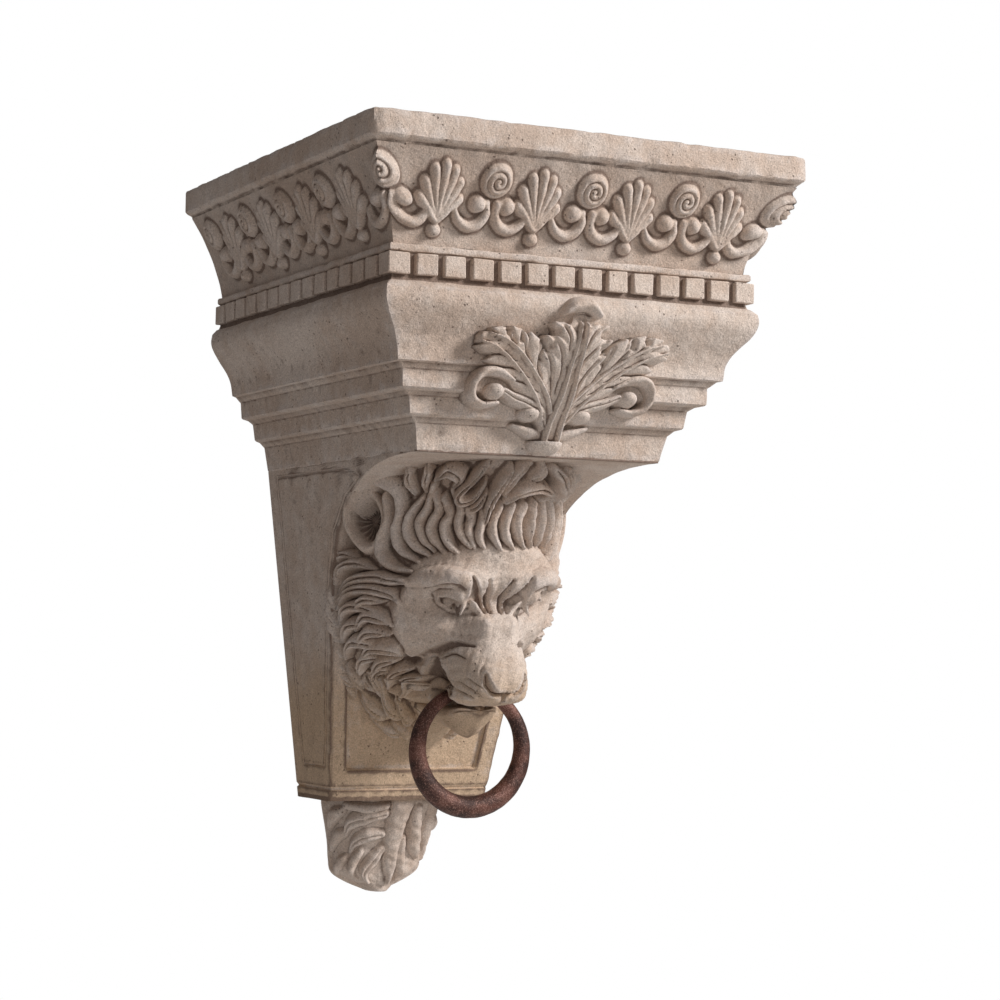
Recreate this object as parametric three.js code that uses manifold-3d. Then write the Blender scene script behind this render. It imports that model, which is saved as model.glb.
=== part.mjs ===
import * as THREE from 'three';
import Module from 'manifold-3d';

// Wall bracket: a moulded shelf on a tapered pier, with a lion head holding an iron ring.
// Millimetres, +Z up. The wall is the plane Y = 0, the front faces -Y, X = 0 is the middle
// and Z = 0 is the underside of the moulded shelf.

// Shelf moulding, read from the lowest step up. Reach is how far a level stands out past
// the lowest step at the sides; the front stands out frontReachShare times as far.
const neckWidth = 200;
const neckDepth = 284.5;
const frontReachShare = 1.1;
const lowStepHeight = 20;
const middleStepHeight = 13.8;
const highStepHeight = 13.9;
const steps = [
  { footReach: 0, headReach: 3.6, rise: lowStepHeight, ledgeRise: 4.4 },
  { footReach: 11.9, headReach: 14, rise: middleStepHeight, ledgeRise: 3.5 },
  { footReach: 23.7, headReach: 25, rise: highStepHeight, ledgeRise: 4.7 },
];
const cymaFootReach = 32.4;
const cymaBellyReach = 51.5;
const cymaHeadReach = 47;
const cymaHeight = 53;
const dentilBandReach = 44;
const dentilBandRise = 3;
const dentilHeight = 15;
const dentilReach = 5.5;
const dentilGap = 5.4;
const dentilsOnFront = 14;
const dentilsOnSide = 15;
const filletReach = 46.5;
const filletHeight = 6;
const friezeFootReach = 42.5;
const friezeHeadReach = 70;
const friezeHeight = 62.7;
const slabReach = 75.6;
const slabUndercut = 3.8;
const slabHeight = 18.6;
const slabEdgeRound = 2.4;

// Carving on the frieze
const ornamentHeight = 46;
const ornamentRelief = 7.5;
const ornamentFoot = 9;
const palmettesOnFront = 4;
const palmettesOnSide = 4;
const sidePitch = 75;
const firstPalmetteFromWall = 66;
const firstRosetteFromWall = 28.5;

// Leaf spray on the front
const sprayHeight = 104;
const sprayRelief = 11;

// Pier under the shelf
const pierHeight = 263;
const pierFootWidth = 138;
const pierFootDepth = 64.2;
const pierWaistDepth = 105;
const pierWaistHeight = 156;
const footBandHeight = 9.7;
const footGrooveDepth = 2.4;
const footGrooveHeight = 3.2;
const panelDepth = 3.4;
const panelHeight = 64;
const panelMargin = 14;
const frameLineDepth = 1.5;
const frameLineWidth = 2.2;
const frameMargin = 18;

// Lion head and the ring in its mouth
const headHeight = 218;
const ringRadius = 44.5;
const ringWireTop = 4.8;
const ringWireFoot = 8.5;
const ringFromWall = 174.6;
const ringPivotBelowShelf = 172.4;
const ringClearance = 1.6;
const ringSwingForward = 34;
const ringSwingBack = 4;

// Leaf drop under the pier
const dropHeight = 78;
const dropWidth = 97;
const dropDepth = 52;

// Faces smaller than this are merged where two carved bodies meet
const seamTolerance = 0.2;

const wasm = await Module();
wasm.setup();

// Closed solids from rings of points
function solid(points, triangles) {
  let volume = 0;
  for (const [a, b, c] of triangles) {
    const [p, q, r] = [points[a], points[b], points[c]];
    volume += p[0] * (q[1] * r[2] - q[2] * r[1])
      + p[1] * (q[2] * r[0] - q[0] * r[2])
      + p[2] * (q[0] * r[1] - q[1] * r[0]);
  }
  const faces = volume < 0 ? triangles.map(([a, b, c]) => [a, c, b]) : triangles;
  return new wasm.Manifold(new wasm.Mesh({
    numProp: 3,
    vertProperties: new Float32Array(points.flat()),
    triVerts: new Uint32Array(faces.flat()),
  }));
}

function loft(rings) {
  const count = rings[0].length;
  const points = rings.flat();
  const triangles = [];
  for (let i = 0; i + 1 < rings.length; i += 1) {
    for (let j = 0; j < count; j += 1) {
      const next = (j + 1) % count;
      const [a, b] = [i * count + j, i * count + next];
      triangles.push([a, b, b + count], [a, b + count, a + count]);
    }
  }
  const cap = (ring, start, turned) => {
    const middle = [0, 1, 2].map((k) => ring.reduce((sum, p) => sum + p[k], 0) / count);
    points.push(middle);
    for (let j = 0; j < count; j += 1) {
      const edge = [start + j, start + ((j + 1) % count)];
      triangles.push(turned ? [edge[1], edge[0], points.length - 1] : [...edge, points.length - 1]);
    }
  };
  cap(rings[0], 0, true);
  cap(rings[rings.length - 1], (rings.length - 1) * count, false);
  return solid(points, triangles);
}

const range = (count) => Array.from({ length: count }, (_, i) => i);
const mix = (a, b, t) => a + (b - a) * t;
const clamp01 = (t) => Math.min(1, Math.max(0, t));
const union = (list) => wasm.Manifold.union(list);

// Smooth value along keys of [place, value, value, ...], placed in rising order
function along(keys, place) {
  const last = keys.length - 1;
  if (place <= keys[0][0]) return keys[0].slice(1);
  if (place >= keys[last][0]) return keys[last].slice(1);
  const i = keys.findIndex((key) => key[0] > place) - 1;
  const [k0, k1, k2, k3] = [keys[Math.max(0, i - 1)], keys[i], keys[i + 1], keys[Math.min(last, i + 2)]];
  const t = (place - k1[0]) / (k2[0] - k1[0]);
  return k1.slice(1).map((value, n) => {
    const c = n + 1;
    const slopeIn = (k2[c] - k0[c]) / (k2[0] - k0[0]) * (k2[0] - k1[0]);
    const slopeOut = (k3[c] - k1[c]) / (k3[0] - k1[0]) * (k2[0] - k1[0]);
    return value * (2 * t ** 3 - 3 * t ** 2 + 1) + k2[c] * (3 * t ** 2 - 2 * t ** 3)
      + slopeIn * (t ** 3 - 2 * t ** 2 + t) + slopeOut * (t ** 3 - t ** 2);
  });
}

// Points of a smooth path through the given points
function smoothPath(points, count) {
  const curve = new THREE.CatmullRomCurve3(points.map((p) => new THREE.Vector3(...p)));
  return curve.getPoints(count).map((p) => p.toArray());
}

// Profile of the shelf moulding: reach and height of each level
function shelfProfile() {
  const levels = [];
  let z = 0;
  for (const step of steps) {
    levels.push([step.footReach, z], [step.headReach, z + step.rise]);
    z += step.rise + step.ledgeRise;
  }
  const cyma = [[0, 0], [0.1, 0.2], [0.3, 0.36], [0.62, 0.52], [0.9, 0.68], [1, 0.8], [0.94, 0.93]];
  const bellyReach = cymaBellyReach - cymaFootReach;
  for (const [out, up] of cyma) levels.push([cymaFootReach + bellyReach * out, z + cymaHeight * up]);
  levels.push([cymaHeadReach, z + cymaHeight]);
  z += cymaHeight + dentilBandRise;
  levels.push([dentilBandReach, z]);
  const dentilFoot = z + 1;
  z += dentilHeight + 2;
  levels.push([dentilBandReach, z], [filletReach, z + 1], [filletReach, z + filletHeight - 1]);
  z += filletHeight;
  const friezeFoot = z;
  for (const t of [0, 0.5, 1]) levels.push([friezeReachAt(t), z + friezeHeight * t]);
  z += friezeHeight + slabUndercut;
  levels.push([slabReach, z], [slabReach, z + slabHeight - slabEdgeRound]);
  z += slabHeight;
  levels.push([slabReach - slabEdgeRound, z]);
  return { levels, dentilFoot, friezeFoot, top: z };
}

// The frieze leans out in a hollow curve, steepest at its head
function friezeReachAt(t) {
  return mix(friezeFootReach, friezeHeadReach, 0.45 * t + 0.55 * t ** 2);
}

const shelf = shelfProfile();
const halfWidthAt = (reach) => neckWidth / 2 + reach;
const depthAt = (reach) => neckDepth + frontReachShare * reach;

function shelfBody() {
  return loft(shelf.levels.map(([reach, z]) => {
    const [w, d] = [halfWidthAt(reach), depthAt(reach)];
    return [[-w, 0, z], [-w, -d, z], [w, -d, z], [w, 0, z]];
  }));
}

function block(x0, x1, y0, y1, z0, z1) {
  const ring = (z) => [[x0, y0, z], [x1, y0, z], [x1, y1, z], [x0, y1, z]];
  return loft([ring(z0), ring(z1)]);
}

// Dentils: a corner block and an even row along the front and each side
function dentils() {
  const face = dentilBandReach + dentilReach;
  const [w, d] = [halfWidthAt(face), depthAt(face)];
  const [z0, z1] = [shelf.dentilFoot, shelf.dentilFoot + dentilHeight];
  const bite = 4 + dentilReach;
  const frontPitch = (2 * w + dentilGap) / dentilsOnFront;
  const sidePitchOf = (d + dentilGap) / dentilsOnSide;
  const blocks = [];
  for (const side of [-1, 1]) {
    const corner = [side * (w - frontPitch + dentilGap), side * w].sort((a, b) => a - b);
    blocks.push(block(...corner, -d, -(d - sidePitchOf + dentilGap), z0, z1));
    for (let i = 1; i < dentilsOnSide; i += 1) {
      const y = -d + i * sidePitchOf;
      const x = [side * (w - bite), side * w].sort((a, b) => a - b);
      blocks.push(block(...x, y, y + sidePitchOf - dentilGap, z0, z1));
    }
  }
  for (let i = 1; i < dentilsOnFront - 1; i += 1) {
    const x = -w + i * frontPitch;
    blocks.push(block(x, x + frontPitch - dentilGap, -d, -d + bite, z0, z1));
  }
  return blocks;
}

// Places on the frieze: along the front or a side, up from its foot, and out from its face
function friezePlace(face, s, up, out) {
  const t = up / friezeHeight;
  const reach = friezeReachAt(t);
  const lean = (friezeReachAt(t + 0.01) - friezeReachAt(t - 0.01)) / (0.02 * friezeHeight);
  const z = shelf.friezeFoot + up - out * lean / Math.hypot(1, lean);
  const stand = out / Math.hypot(1, lean);
  const [w, d] = [halfWidthAt(reach) + stand, depthAt(reach) + stand];
  if (face === 'front') return [s, -d, z];
  const side = face === 'left' ? -1 : 1;
  if (face === 'left' || face === 'right') return [side * w, s, z];
  const corner = face === 'leftCorner' ? -1 : 1;
  return s > 0 ? [corner * (w - s), -d, z] : [corner * w, -d - s, z];
}

// One fan of seven pointed lobes on a foot, with a bead below it
function palmette(face, s) {
  const h = ornamentHeight;
  const foot = ornamentFoot + 0.11 * h;
  const sink = 0.35 * ornamentRelief;
  const at = (x, up, out) => friezePlace(face, s + x, foot + up, out);
  const lobes = [[-64, 0.42], [-43, 0.56], [-21, 0.7], [0, 0.82], [21, 0.7], [43, 0.56], [64, 0.42]];
  const outline = [];
  const ridges = [];
  lobes.forEach(([angle, length], i) => {
    const point = (degrees, far, out) => {
      const turn = degrees * Math.PI / 180;
      return [far * h * Math.sin(turn) * 0.9, far * h * Math.cos(turn), out];
    };
    ridges.push(point(angle, length * 0.72, ornamentRelief));
    outline.push(point(angle, length, 0.3 * ornamentRelief));
    if (i < lobes.length - 1) {
      const middle = (angle + lobes[i + 1][0]) / 2;
      outline.push(point(middle, Math.min(length, lobes[i + 1][1]) * 0.78, 0.1 * ornamentRelief));
    }
  });
  outline.push([0.07 * h, -0.12 * h, 0.3 * ornamentRelief], [-0.07 * h, -0.12 * h, 0.3 * ornamentRelief]);
  const points = [];
  const triangles = [];
  const n = outline.length;
  for (const [x, up, out] of outline) points.push(at(x, up, out));
  for (const [x, up] of outline) points.push(at(x, up, -sink));
  for (const [x, up, out] of ridges) points.push(at(x, up, out));
  const heart = points.push(at(0, 0, 0.7 * ornamentRelief)) - 1;
  const back = points.push(at(0, 0.1 * h, -sink)) - 1;
  const ridge = (i) => 2 * n + i;
  lobes.forEach((_, i) => {
    const tip = 2 * i;
    const before = i === 0 ? n - 1 : tip - 1;
    const after = i === lobes.length - 1 ? n - 2 : tip + 1;
    triangles.push([before, tip, ridge(i)], [tip, after, ridge(i)]);
    triangles.push([before, ridge(i), heart], [ridge(i), after, heart]);
  });
  triangles.push([n - 2, n - 1, heart]);
  for (let i = 0; i < n; i += 1) {
    const next = (i + 1) % n;
    triangles.push([i, n + i, n + next], [i, n + next, next], [n + i, back, n + next]);
  }
  const bead = dome((x, up, out) => at(x, up - 0.16 * h, out), 0.115 * h, 0.125 * h, ornamentRelief, 5);
  return [solid(points, triangles), bead];
}

// Rounded boss on a mapped face
function dome(at, halfWide, halfHigh, relief, sides) {
  const levels = [[1, -0.3], [0.8, 0.7]];
  return loftTo(levels.map(([share, out]) => range(sides).map((i) => {
    const turn = 2 * Math.PI * (i + 0.5) / sides;
    return at(share * halfWide * Math.sin(turn), share * halfHigh * Math.cos(turn), out * relief);
  })), at(0, 0, relief), at(0, 0, -0.3 * relief));
}

// Loft with a pole point at each end
function loftTo(rings, tip, base) {
  const count = rings[0].length;
  const points = [...rings.flat(), tip, base];
  const triangles = [];
  for (let i = 0; i + 1 < rings.length; i += 1) {
    for (let j = 0; j < count; j += 1) {
      const [a, b] = [i * count + j, i * count + ((j + 1) % count)];
      triangles.push([a, b, b + count], [a, b + count, a + count]);
    }
  }
  const top = (rings.length - 1) * count;
  for (let j = 0; j < count; j += 1) {
    const next = (j + 1) % count;
    triangles.push([top + j, top + next, points.length - 2], [next, j, points.length - 1]);
  }
  return solid(points, triangles);
}

// Coiled rosette: a round boss with a sunk ring and a raised eye
function rosette(face, s) {
  const h = ornamentHeight;
  const centre = ornamentFoot + 0.83 * h;
  const at = (x, up, out) => friezePlace(face, s + x, centre + up, out);
  const levels = [[1, -0.3], [0.8, 0.85], [0.5, 0.35]];
  const sides = 6;
  const rings = levels.map(([share, out]) => range(sides).map((i) => {
    const turn = 2 * Math.PI * i / sides;
    const [x, up] = [share * 0.27 * h * Math.sin(turn), share * 0.29 * h * Math.cos(turn)];
    return at(Math.abs(x) < 1e-6 ? 0 : x, up, out * ornamentRelief);
  }));
  return loftTo(rings, at(0, 0, ornamentRelief), at(0, 0, -0.3 * ornamentRelief));
}

// A pair of C scrolls under a rosette, each curling round a ball
function scrolls(face, s, hands) {
  const h = ornamentHeight;
  const route = [[0.45, 0.18], [0.28, 0.1], [0.11, 0.18], [0.09, 0.42]];
  const halfWide = 0.075 * h;
  const solids = [];
  for (const hand of hands) {
    const at = (x, up, out) => friezePlace(face, s + hand * x, ornamentFoot + up, out);
    const rings = route.map(([x, up], i) => {
      const before = route[Math.max(0, i - 1)];
      const after = route[Math.min(route.length - 1, i + 1)];
      const [dx, dz] = [after[0] - before[0], after[1] - before[1]];
      const [nx, nz] = [dz / Math.hypot(dx, dz) * halfWide, -dx / Math.hypot(dx, dz) * halfWide];
      return [
        at(x * h - nx, up * h - nz, -0.3 * ornamentRelief),
        at(x * h, up * h, 0.9 * ornamentRelief),
        at(x * h + nx, up * h + nz, -0.3 * ornamentRelief),
      ];
    });
    const ballPlace = (x, up, out) => at(0.29 * h + x, 0.47 * h + up, out);
    solids.push(loft(rings), dome(ballPlace, 0.125 * h, 0.13 * h, ornamentRelief, 5));
  }
  return solids;
}

// All the carving on the three faces of the frieze and round its two corners
function frieze() {
  const frontPitch = 2 * halfWidthAt(friezeReachAt(0.5)) / palmettesOnFront;
  const coil = (face, s, hands) => [rosette(face, s), ...scrolls(face, s, hands)];
  const solids = [];
  for (const i of range(palmettesOnFront)) {
    const s = (i - (palmettesOnFront - 1) / 2) * frontPitch;
    solids.push(...palmette('front', s));
    if (i > 0) solids.push(...coil('front', s - frontPitch / 2, [-1, 1]));
  }
  for (const side of ['left', 'right']) {
    solids.push(...coil(`${side}Corner`, 0, [-1, 1]));
    for (const i of range(palmettesOnSide)) {
      const s = -(firstPalmetteFromWall + i * sidePitch);
      solids.push(...palmette(side, s));
      if (i < palmettesOnSide - 1) solids.push(...coil(side, s - sidePitch / 2, [-1, 1]));
    }
    solids.push(...coil(side, -firstRosetteFromWall, [-1]));
  }
  return solids;
}

// Depth of the moulded front at a height, used to seat the spray
function shelfFrontAt(z) {
  const levels = shelf.levels;
  const i = Math.max(1, levels.findIndex((level) => level[1] >= z));
  const [low, high] = [levels[i - 1], levels[i]];
  return depthAt(mix(low[0], high[0], clamp01((z - low[1]) / (high[1] - low[1] || 1))));
}

// A carved leaf: a rib with a toothed blade each side, its back sunk in the moulding
function leaf(rib, widths, relief, sink) {
  const rings = rib.map((p, i) => {
    const before = rib[Math.max(0, i - 1)];
    const after = rib[Math.min(rib.length - 1, i + 1)];
    const [dx, dz] = [after[0] - before[0], after[2] - before[2]];
    const length = Math.hypot(dx, dz) || 1;
    const across = (share, out) => [
      p[0] + share * widths[i] * dz / length,
      p[1] - out,
      p[2] - share * widths[i] * dx / length,
    ];
    return [
      across(-1, 0.55 * relief), across(-0.5, relief), across(0, 0.55 * relief),
      across(0.5, relief), across(1, 0.55 * relief), across(0.95, -sink), across(-0.95, -sink),
    ];
  });
  return loft(rings);
}

function spray() {
  const h = sprayHeight;
  const seat = (x, z, out) => [x * h, -(shelfFrontAt(z * h) + out * h), z * h];
  const sink = 0.2 * h;
  const middle = [
    seat(0, 0.03, 0.02), seat(0, 0.16, 0.03), seat(0, 0.34, 0.0), seat(0, 0.42, 0.02),
    seat(0, 0.54, 0.0), seat(0, 0.6, 0.02), seat(0, 0.7, 0.03), seat(0, 0.76, 0.03),
    seat(0, 0.87, 0.04), seat(0.02, 0.95, 0.1), seat(0.03, 1.01, 0.15),
  ];
  const middleWidths = [0.09, 0.07, 0.11, 0.15, 0.12, 0.2, 0.16, 0.22, 0.16, 0.14, 0.07];
  const solids = [leaf(middle, middleWidths.map((w) => w * h), sprayRelief, sink)];
  for (const hand of [-1, 1]) {
    const side = [
      seat(0.04 * hand, 0.1, 0.0), seat(0.15 * hand, 0.34, 0.0), seat(0.26 * hand, 0.48, 0.02),
      seat(0.35 * hand, 0.57, 0.0), seat(0.45 * hand, 0.64, 0.02), seat(0.54 * hand, 0.69, 0.0),
      seat(0.64 * hand, 0.73, 0.02), seat(0.72 * hand, 0.755, 0.01),
    ];
    const sideWidths = [0.05, 0.1, 0.17, 0.12, 0.18, 0.11, 0.1, 0.02].map((w) => w * h);
    solids.push(leaf(side, sideWidths, 0.75 * sprayRelief, sink));
    const stalk = [
      seat(0.08 * hand, 0.1, 0.0), seat(0.25 * hand, 0.29, 0.03), seat(0.42 * hand, 0.39, 0.02),
      seat(0.56 * hand, 0.44, 0.02), seat(0.68 * hand, 0.43, 0.02), seat(0.74 * hand, 0.36, 0.02),
    ];
    const stalkWidths = [0.05, 0.09, 0.1, 0.09, 0.07, 0.04].map((w) => w * h);
    solids.push(leaf(stalk, stalkWidths, 0.6 * sprayRelief, sink));
    const bud = (x, up, out) => [
      hand * 0.63 * h + x, -(shelfFrontAt(0.36 * h) + out - 0.03 * h), 0.355 * h + up,
    ];
    solids.push(dome(bud, 0.085 * h, 0.09 * h, 1.6 * sprayRelief, 8));
  }
  const boss = (x, up, out) => [x, -(neckDepth + out), 0.035 * h + up];
  solids.push(dome(boss, 0.15 * h, 0.075 * h, 1.3 * sprayRelief, 8));
  return solids;
}

// Pier: straight taper below the waist, then a hollow sweep out to the shelf
const pierHalfWidthAt = (z) => mix(neckWidth, pierFootWidth, -z / pierHeight) / 2;

function pierFrontAt(z) {
  const slope = (pierWaistDepth - pierFootDepth) / pierWaistHeight;
  const line = pierWaistDepth + slope * (z + pierHeight - pierWaistHeight);
  const waist = pierHeight - pierWaistHeight;
  const t = clamp01(-z / waist);
  const sweep = (neckDepth - pierWaistDepth - slope * waist) * (1 - t ** 0.47) ** (1 / 0.47);
  return line + sweep;
}

function pierBody() {
  const waist = pierHeight - pierWaistHeight;
  const upper = [-0.03, 0, 0.008, 0.03, 0.07, 0.13, 0.22, 0.34, 0.5, 0.72, 1].map((t) => -t * waist);
  const groove = -(pierHeight - footBandHeight);
  const ring = (z, inset) => {
    const [w, d] = [pierHalfWidthAt(Math.min(0, z)) - inset, pierFrontAt(Math.min(0, z)) - inset];
    return [[-w, 0, z], [-w, -d, z], [w, -d, z], [w, 0, z]];
  };
  return loft([
    ...upper.map((z) => ring(z, z > 0 ? 0.5 : 0)),
    ring(groove + footGrooveHeight / 2, 0),
    ring(groove, footGrooveDepth),
    ring(groove - footGrooveHeight / 2, 0),
    ring(-pierHeight, 0),
  ]);
}

// Sunk panel with rounded upper corners on the lower front of the pier
function panelCut() {
  const foot = -(pierHeight - footBandHeight - panelMargin - footGrooveHeight);
  const halfWide = pierFootWidth / 2 - panelMargin;
  const outline = [[-halfWide, foot], [halfWide, foot]];
  const corner = 0.18 * panelHeight;
  const arcs = [[halfWide - corner, 0], [corner - halfWide, Math.PI / 2]];
  for (const [middle, start] of arcs) {
    for (const i of range(4)) {
      const turn = start + i / 3 * Math.PI / 2;
      const x = middle + corner * Math.cos(turn);
      outline.push([x, foot + panelHeight - corner + corner * Math.sin(turn)]);
    }
  }
  const ring = (out) => outline.map(([x, z]) => [x, -(pierFrontAt(z) + out), z]);
  return loft([ring(-panelDepth), ring(2 * panelDepth)]);
}

// Scored frame line on each side of the pier
function frameLineCuts() {
  const low = -(pierHeight - footBandHeight - frameMargin);
  const high = -0.016 * pierHeight;
  const front = (z, margin) => pierFrontAt(z) - margin;
  const corners = [[frameMargin, low], [frameMargin, high], [0.54 * neckDepth, high]];
  for (const t of [0.04, 0.1, 0.2, 0.4]) {
    corners.push([front(-t * pierHeight, 0.5 * frameMargin), -t * pierHeight]);
  }
  corners.push([front(low, 0.5 * frameMargin), low]);
  const half = frameLineWidth / 2;
  const cuts = [];
  for (const side of [-1, 1]) {
    corners.forEach((from, i) => {
      const to = corners[(i + 1) % corners.length];
      const [dy, dz] = [to[0] - from[0], to[1] - from[1]];
      const length = Math.hypot(dy, dz);
      const [ny, nz] = [-dz / length * half, dy / length * half];
      const ring = ([y, z]) => {
        const wall = pierHalfWidthAt(z);
        return [
          [side * (wall + 1), -(y + ny), z + nz],
          [side * (wall - frameLineDepth), -y, z],
          [side * (wall + 1), -(y - ny), z - nz],
        ];
      };
      cuts.push(loft([ring(from), ring(to)]));
    });
  }
  return cuts;
}

// Lion head. Its own measures are shares of the head's height.
const unit = headHeight / 2.18;

// Height, half width, depth of the broad face, roundness of the brow and of the temples
const headKeys = [
  [-2.2, 0.14, 1.0, 0.1, 0.9],
  [-2.1, 0.26, 1.14, 0.16, 1.0],
  [-1.92, 0.49, 1.36, 0.24, 1.12],
  [-1.72, 0.65, 1.64, 0.3, 1.2],
  [-1.5, 0.76, 1.86, 0.36, 1.25],
  [-1.3, 0.83, 1.98, 0.48, 1.5],
  [-1.12, 0.87, 2.02, 0.62, 1.62],
  [-0.92, 0.87, 2.18, 0.57, 1.68],
  [-0.6, 0.84, 2.3, 0.5, 1.7],
  [-0.3, 0.84, 2.42, 0.48, 1.7],
  [0.03, 0.9, 2.66, 0.5, 1.9],
];

const bump = (x, z, cx, cz, wide, high, power) => (
  Math.exp(-(Math.abs((x - cx) / wide) ** power) - (Math.abs((z - cz) / high) ** power)));

// Added depth of the features on the front of the face
function features(x, z) {
  const a = Math.abs(x);
  const nose = 0.26 * Math.exp(-((a / 0.17) ** 2)) * clamp01((-0.7 - z) / 0.35) * clamp01((z + 1.86) / 0.2);
  const brow = 0.13 * bump(a, z, 0.3, -0.96 - 0.1 * (0.4 - a), 0.26, 0.075, 2);
  const socket = -0.13 * bump(a, z, 0.36, -1.06, 0.19, 0.075, 2);
  const eyeball = 0.09 * bump(a, z, 0.36, -1.04, 0.085, 0.055, 2);
  const cheek = 0.1 * bump(a, z, 0.45, -1.32, 0.22, 0.12, 2);
  const pad = 0.05 * bump(a, z, 0.2, -1.7, 0.13, 0.1, 2);
  const noseTip = 0.08 * bump(a, z, 0, -1.64, 0.15, 0.07, 2);
  return nose + brow + socket + eyeball + cheek + pad + noseTip;
}

// The muzzle stands forward of the face as a blunt block
function withMuzzle(x, z, depth) {
  const front = 2.3 - 0.2 * (x / 0.38) ** 2;
  return mix(depth, Math.max(depth, front), bump(x, z, 0, -1.62, 0.38, 0.24, 6));
}

// A place on the head: t runs from -1 at the left edge through 0 to 1, z in head units
function headPlace(t, z, out = 0) {
  const [wide, deep, round, temple] = along(headKeys, z);
  const back = Math.min(1.95, pierFrontAt(Math.min(0, z * unit)) / unit) - 0.12;
  const a = Math.abs(t);
  const b = 1 - a;
  const bezier = (p0, p1, p2, p3) => p0 * b ** 3 + 3 * p1 * b * b * a + 3 * p2 * b * a * a + p3 * a ** 3;
  const x = bezier(0, round, wide, wide) * Math.sign(t);
  const base = bezier(deep, deep, Math.max(temple, back + 0.05), back);
  const depth = withMuzzle(x, z, base + features(x, z) * (1 - a ** 3));
  const turn = a * Math.PI / 2;
  return [
    (x + out * Math.sin(turn) * Math.sign(t)) * unit,
    -(depth + out * Math.cos(turn)) * unit,
    z * unit,
  ];
}

function headBody() {
  const rows = [0.03, -0.14, -0.38, -0.62, -0.8, -0.92, -1.0, -1.08, -1.15, -1.23, -1.36, -1.46, -1.54,
    -1.63, -1.72, -1.8, -1.86, -1.97, -2.09, -2.2];
  const columns = 16;
  return loft(rows.map((z) => {
    const ring = range(columns + 1).map((i) => headPlace((2 * i / columns - 1), z));
    const back = 0.6 * unit;
    const inside = Math.min(ring[columns][0], pierHalfWidthAt(Math.min(0, z * unit)) - 4);
    return [...ring, [inside, -back, z * unit], [-inside, -back, z * unit]];
  }));
}

// A lock of hair: a ridge along a path of places on the head, thin at its tip
function lock(path, halfWide, relief) {
  const rings = [];
  const count = 3;
  const places = smoothPath(path.map(([t, z]) => [t, z, 0]), count);
  const points = places.map(([t, z], i) => {
    const lift = 0.3 + 0.7 * Math.sin(Math.PI * Math.min(1, 0.25 + i / count * 0.8));
    return { ground: headPlace(t, z, -0.06), crest: headPlace(t, z, relief * lift) };
  });
  points.forEach(({ ground, crest }, i) => {
    const before = points[Math.max(0, i - 1)].ground;
    const after = points[Math.min(count, i + 1)].ground;
    const run = new THREE.Vector3(...after).sub(new THREE.Vector3(...before));
    const rise = new THREE.Vector3(...crest).sub(new THREE.Vector3(...ground));
    const side = run.cross(rise).normalize();
    const half = halfWide * unit * Math.sin(Math.PI * Math.min(1, 0.3 + 0.68 * i / count));
    const shift = (share, from) => from.map((v, k) => v + side.getComponent(k) * share * half);
    rings.push([shift(-1, ground), crest, shift(1, ground)]);
  });
  return loft(rings);
}

function hair() {
  const locks = [];
  const mirror = (path, hand) => path.map(([t, z]) => [t * hand, z]);
  const add = (path, wide, relief) => {
    for (const hand of [-1, 1]) locks.push(lock(mirror(path, hand), wide, relief));
  };
  const fringe = [[0.06, 0.62], [0.16, 0.65], [0.27, 0.7], [0.39, 0.77], [0.52, 0.86]];
  for (const [tip, low] of fringe) {
    add([[tip + 0.02, -0.12], [tip + 0.09, -0.4 * low - 0.05], [tip + 0.07, -0.75 * low], [tip - 0.02, -low]],
      0.052, 0.1);
  }
  for (const i of range(6)) {
    const z = -0.93 - 0.17 * i;
    const tip = 0.66 - 0.02 * i;
    add([[0.97, z - 0.13], [0.88, z + 0.01], [0.76, z + 0.03], [tip, z - 0.07]], 0.055, 0.1);
  }
  add([[0.1, -0.06], [0.2, -0.12], [0.26, -0.22], [0.2, -0.3]], 0.07, 0.2);
  return locks;
}

// Ear: a thick bowl that opens outward and forward
function ear(hand) {
  const centre = new THREE.Vector3(0.76 * hand, -1.5, -0.44).multiplyScalar(unit);
  const facing = new THREE.Vector3(hand * 0.75, -0.66, 0.05).normalize();
  const up = new THREE.Vector3(hand * 0.1, 0.1, 1).normalize();
  const across = new THREE.Vector3().crossVectors(up, facing).normalize();
  const levels = [[0.6, -0.2], [1, 0.02], [1, 0.12], [0.78, 0.14], [0.6, 0.04]];
  const sides = 8;
  const point = (share, out, turn) => centre.clone()
    .addScaledVector(facing, out * unit)
    .addScaledVector(across, share * 0.17 * unit * Math.sin(turn))
    .addScaledVector(up, share * 0.24 * unit * Math.cos(turn))
    .toArray();
  const turns = range(sides).map((i) => 2 * Math.PI * i / sides);
  const rings = levels.map(([share, out]) => turns.map((turn) => point(share, out, turn)));
  return loftTo(rings, point(0, -0.02, 0), point(0, -0.25, 0));
}

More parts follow.
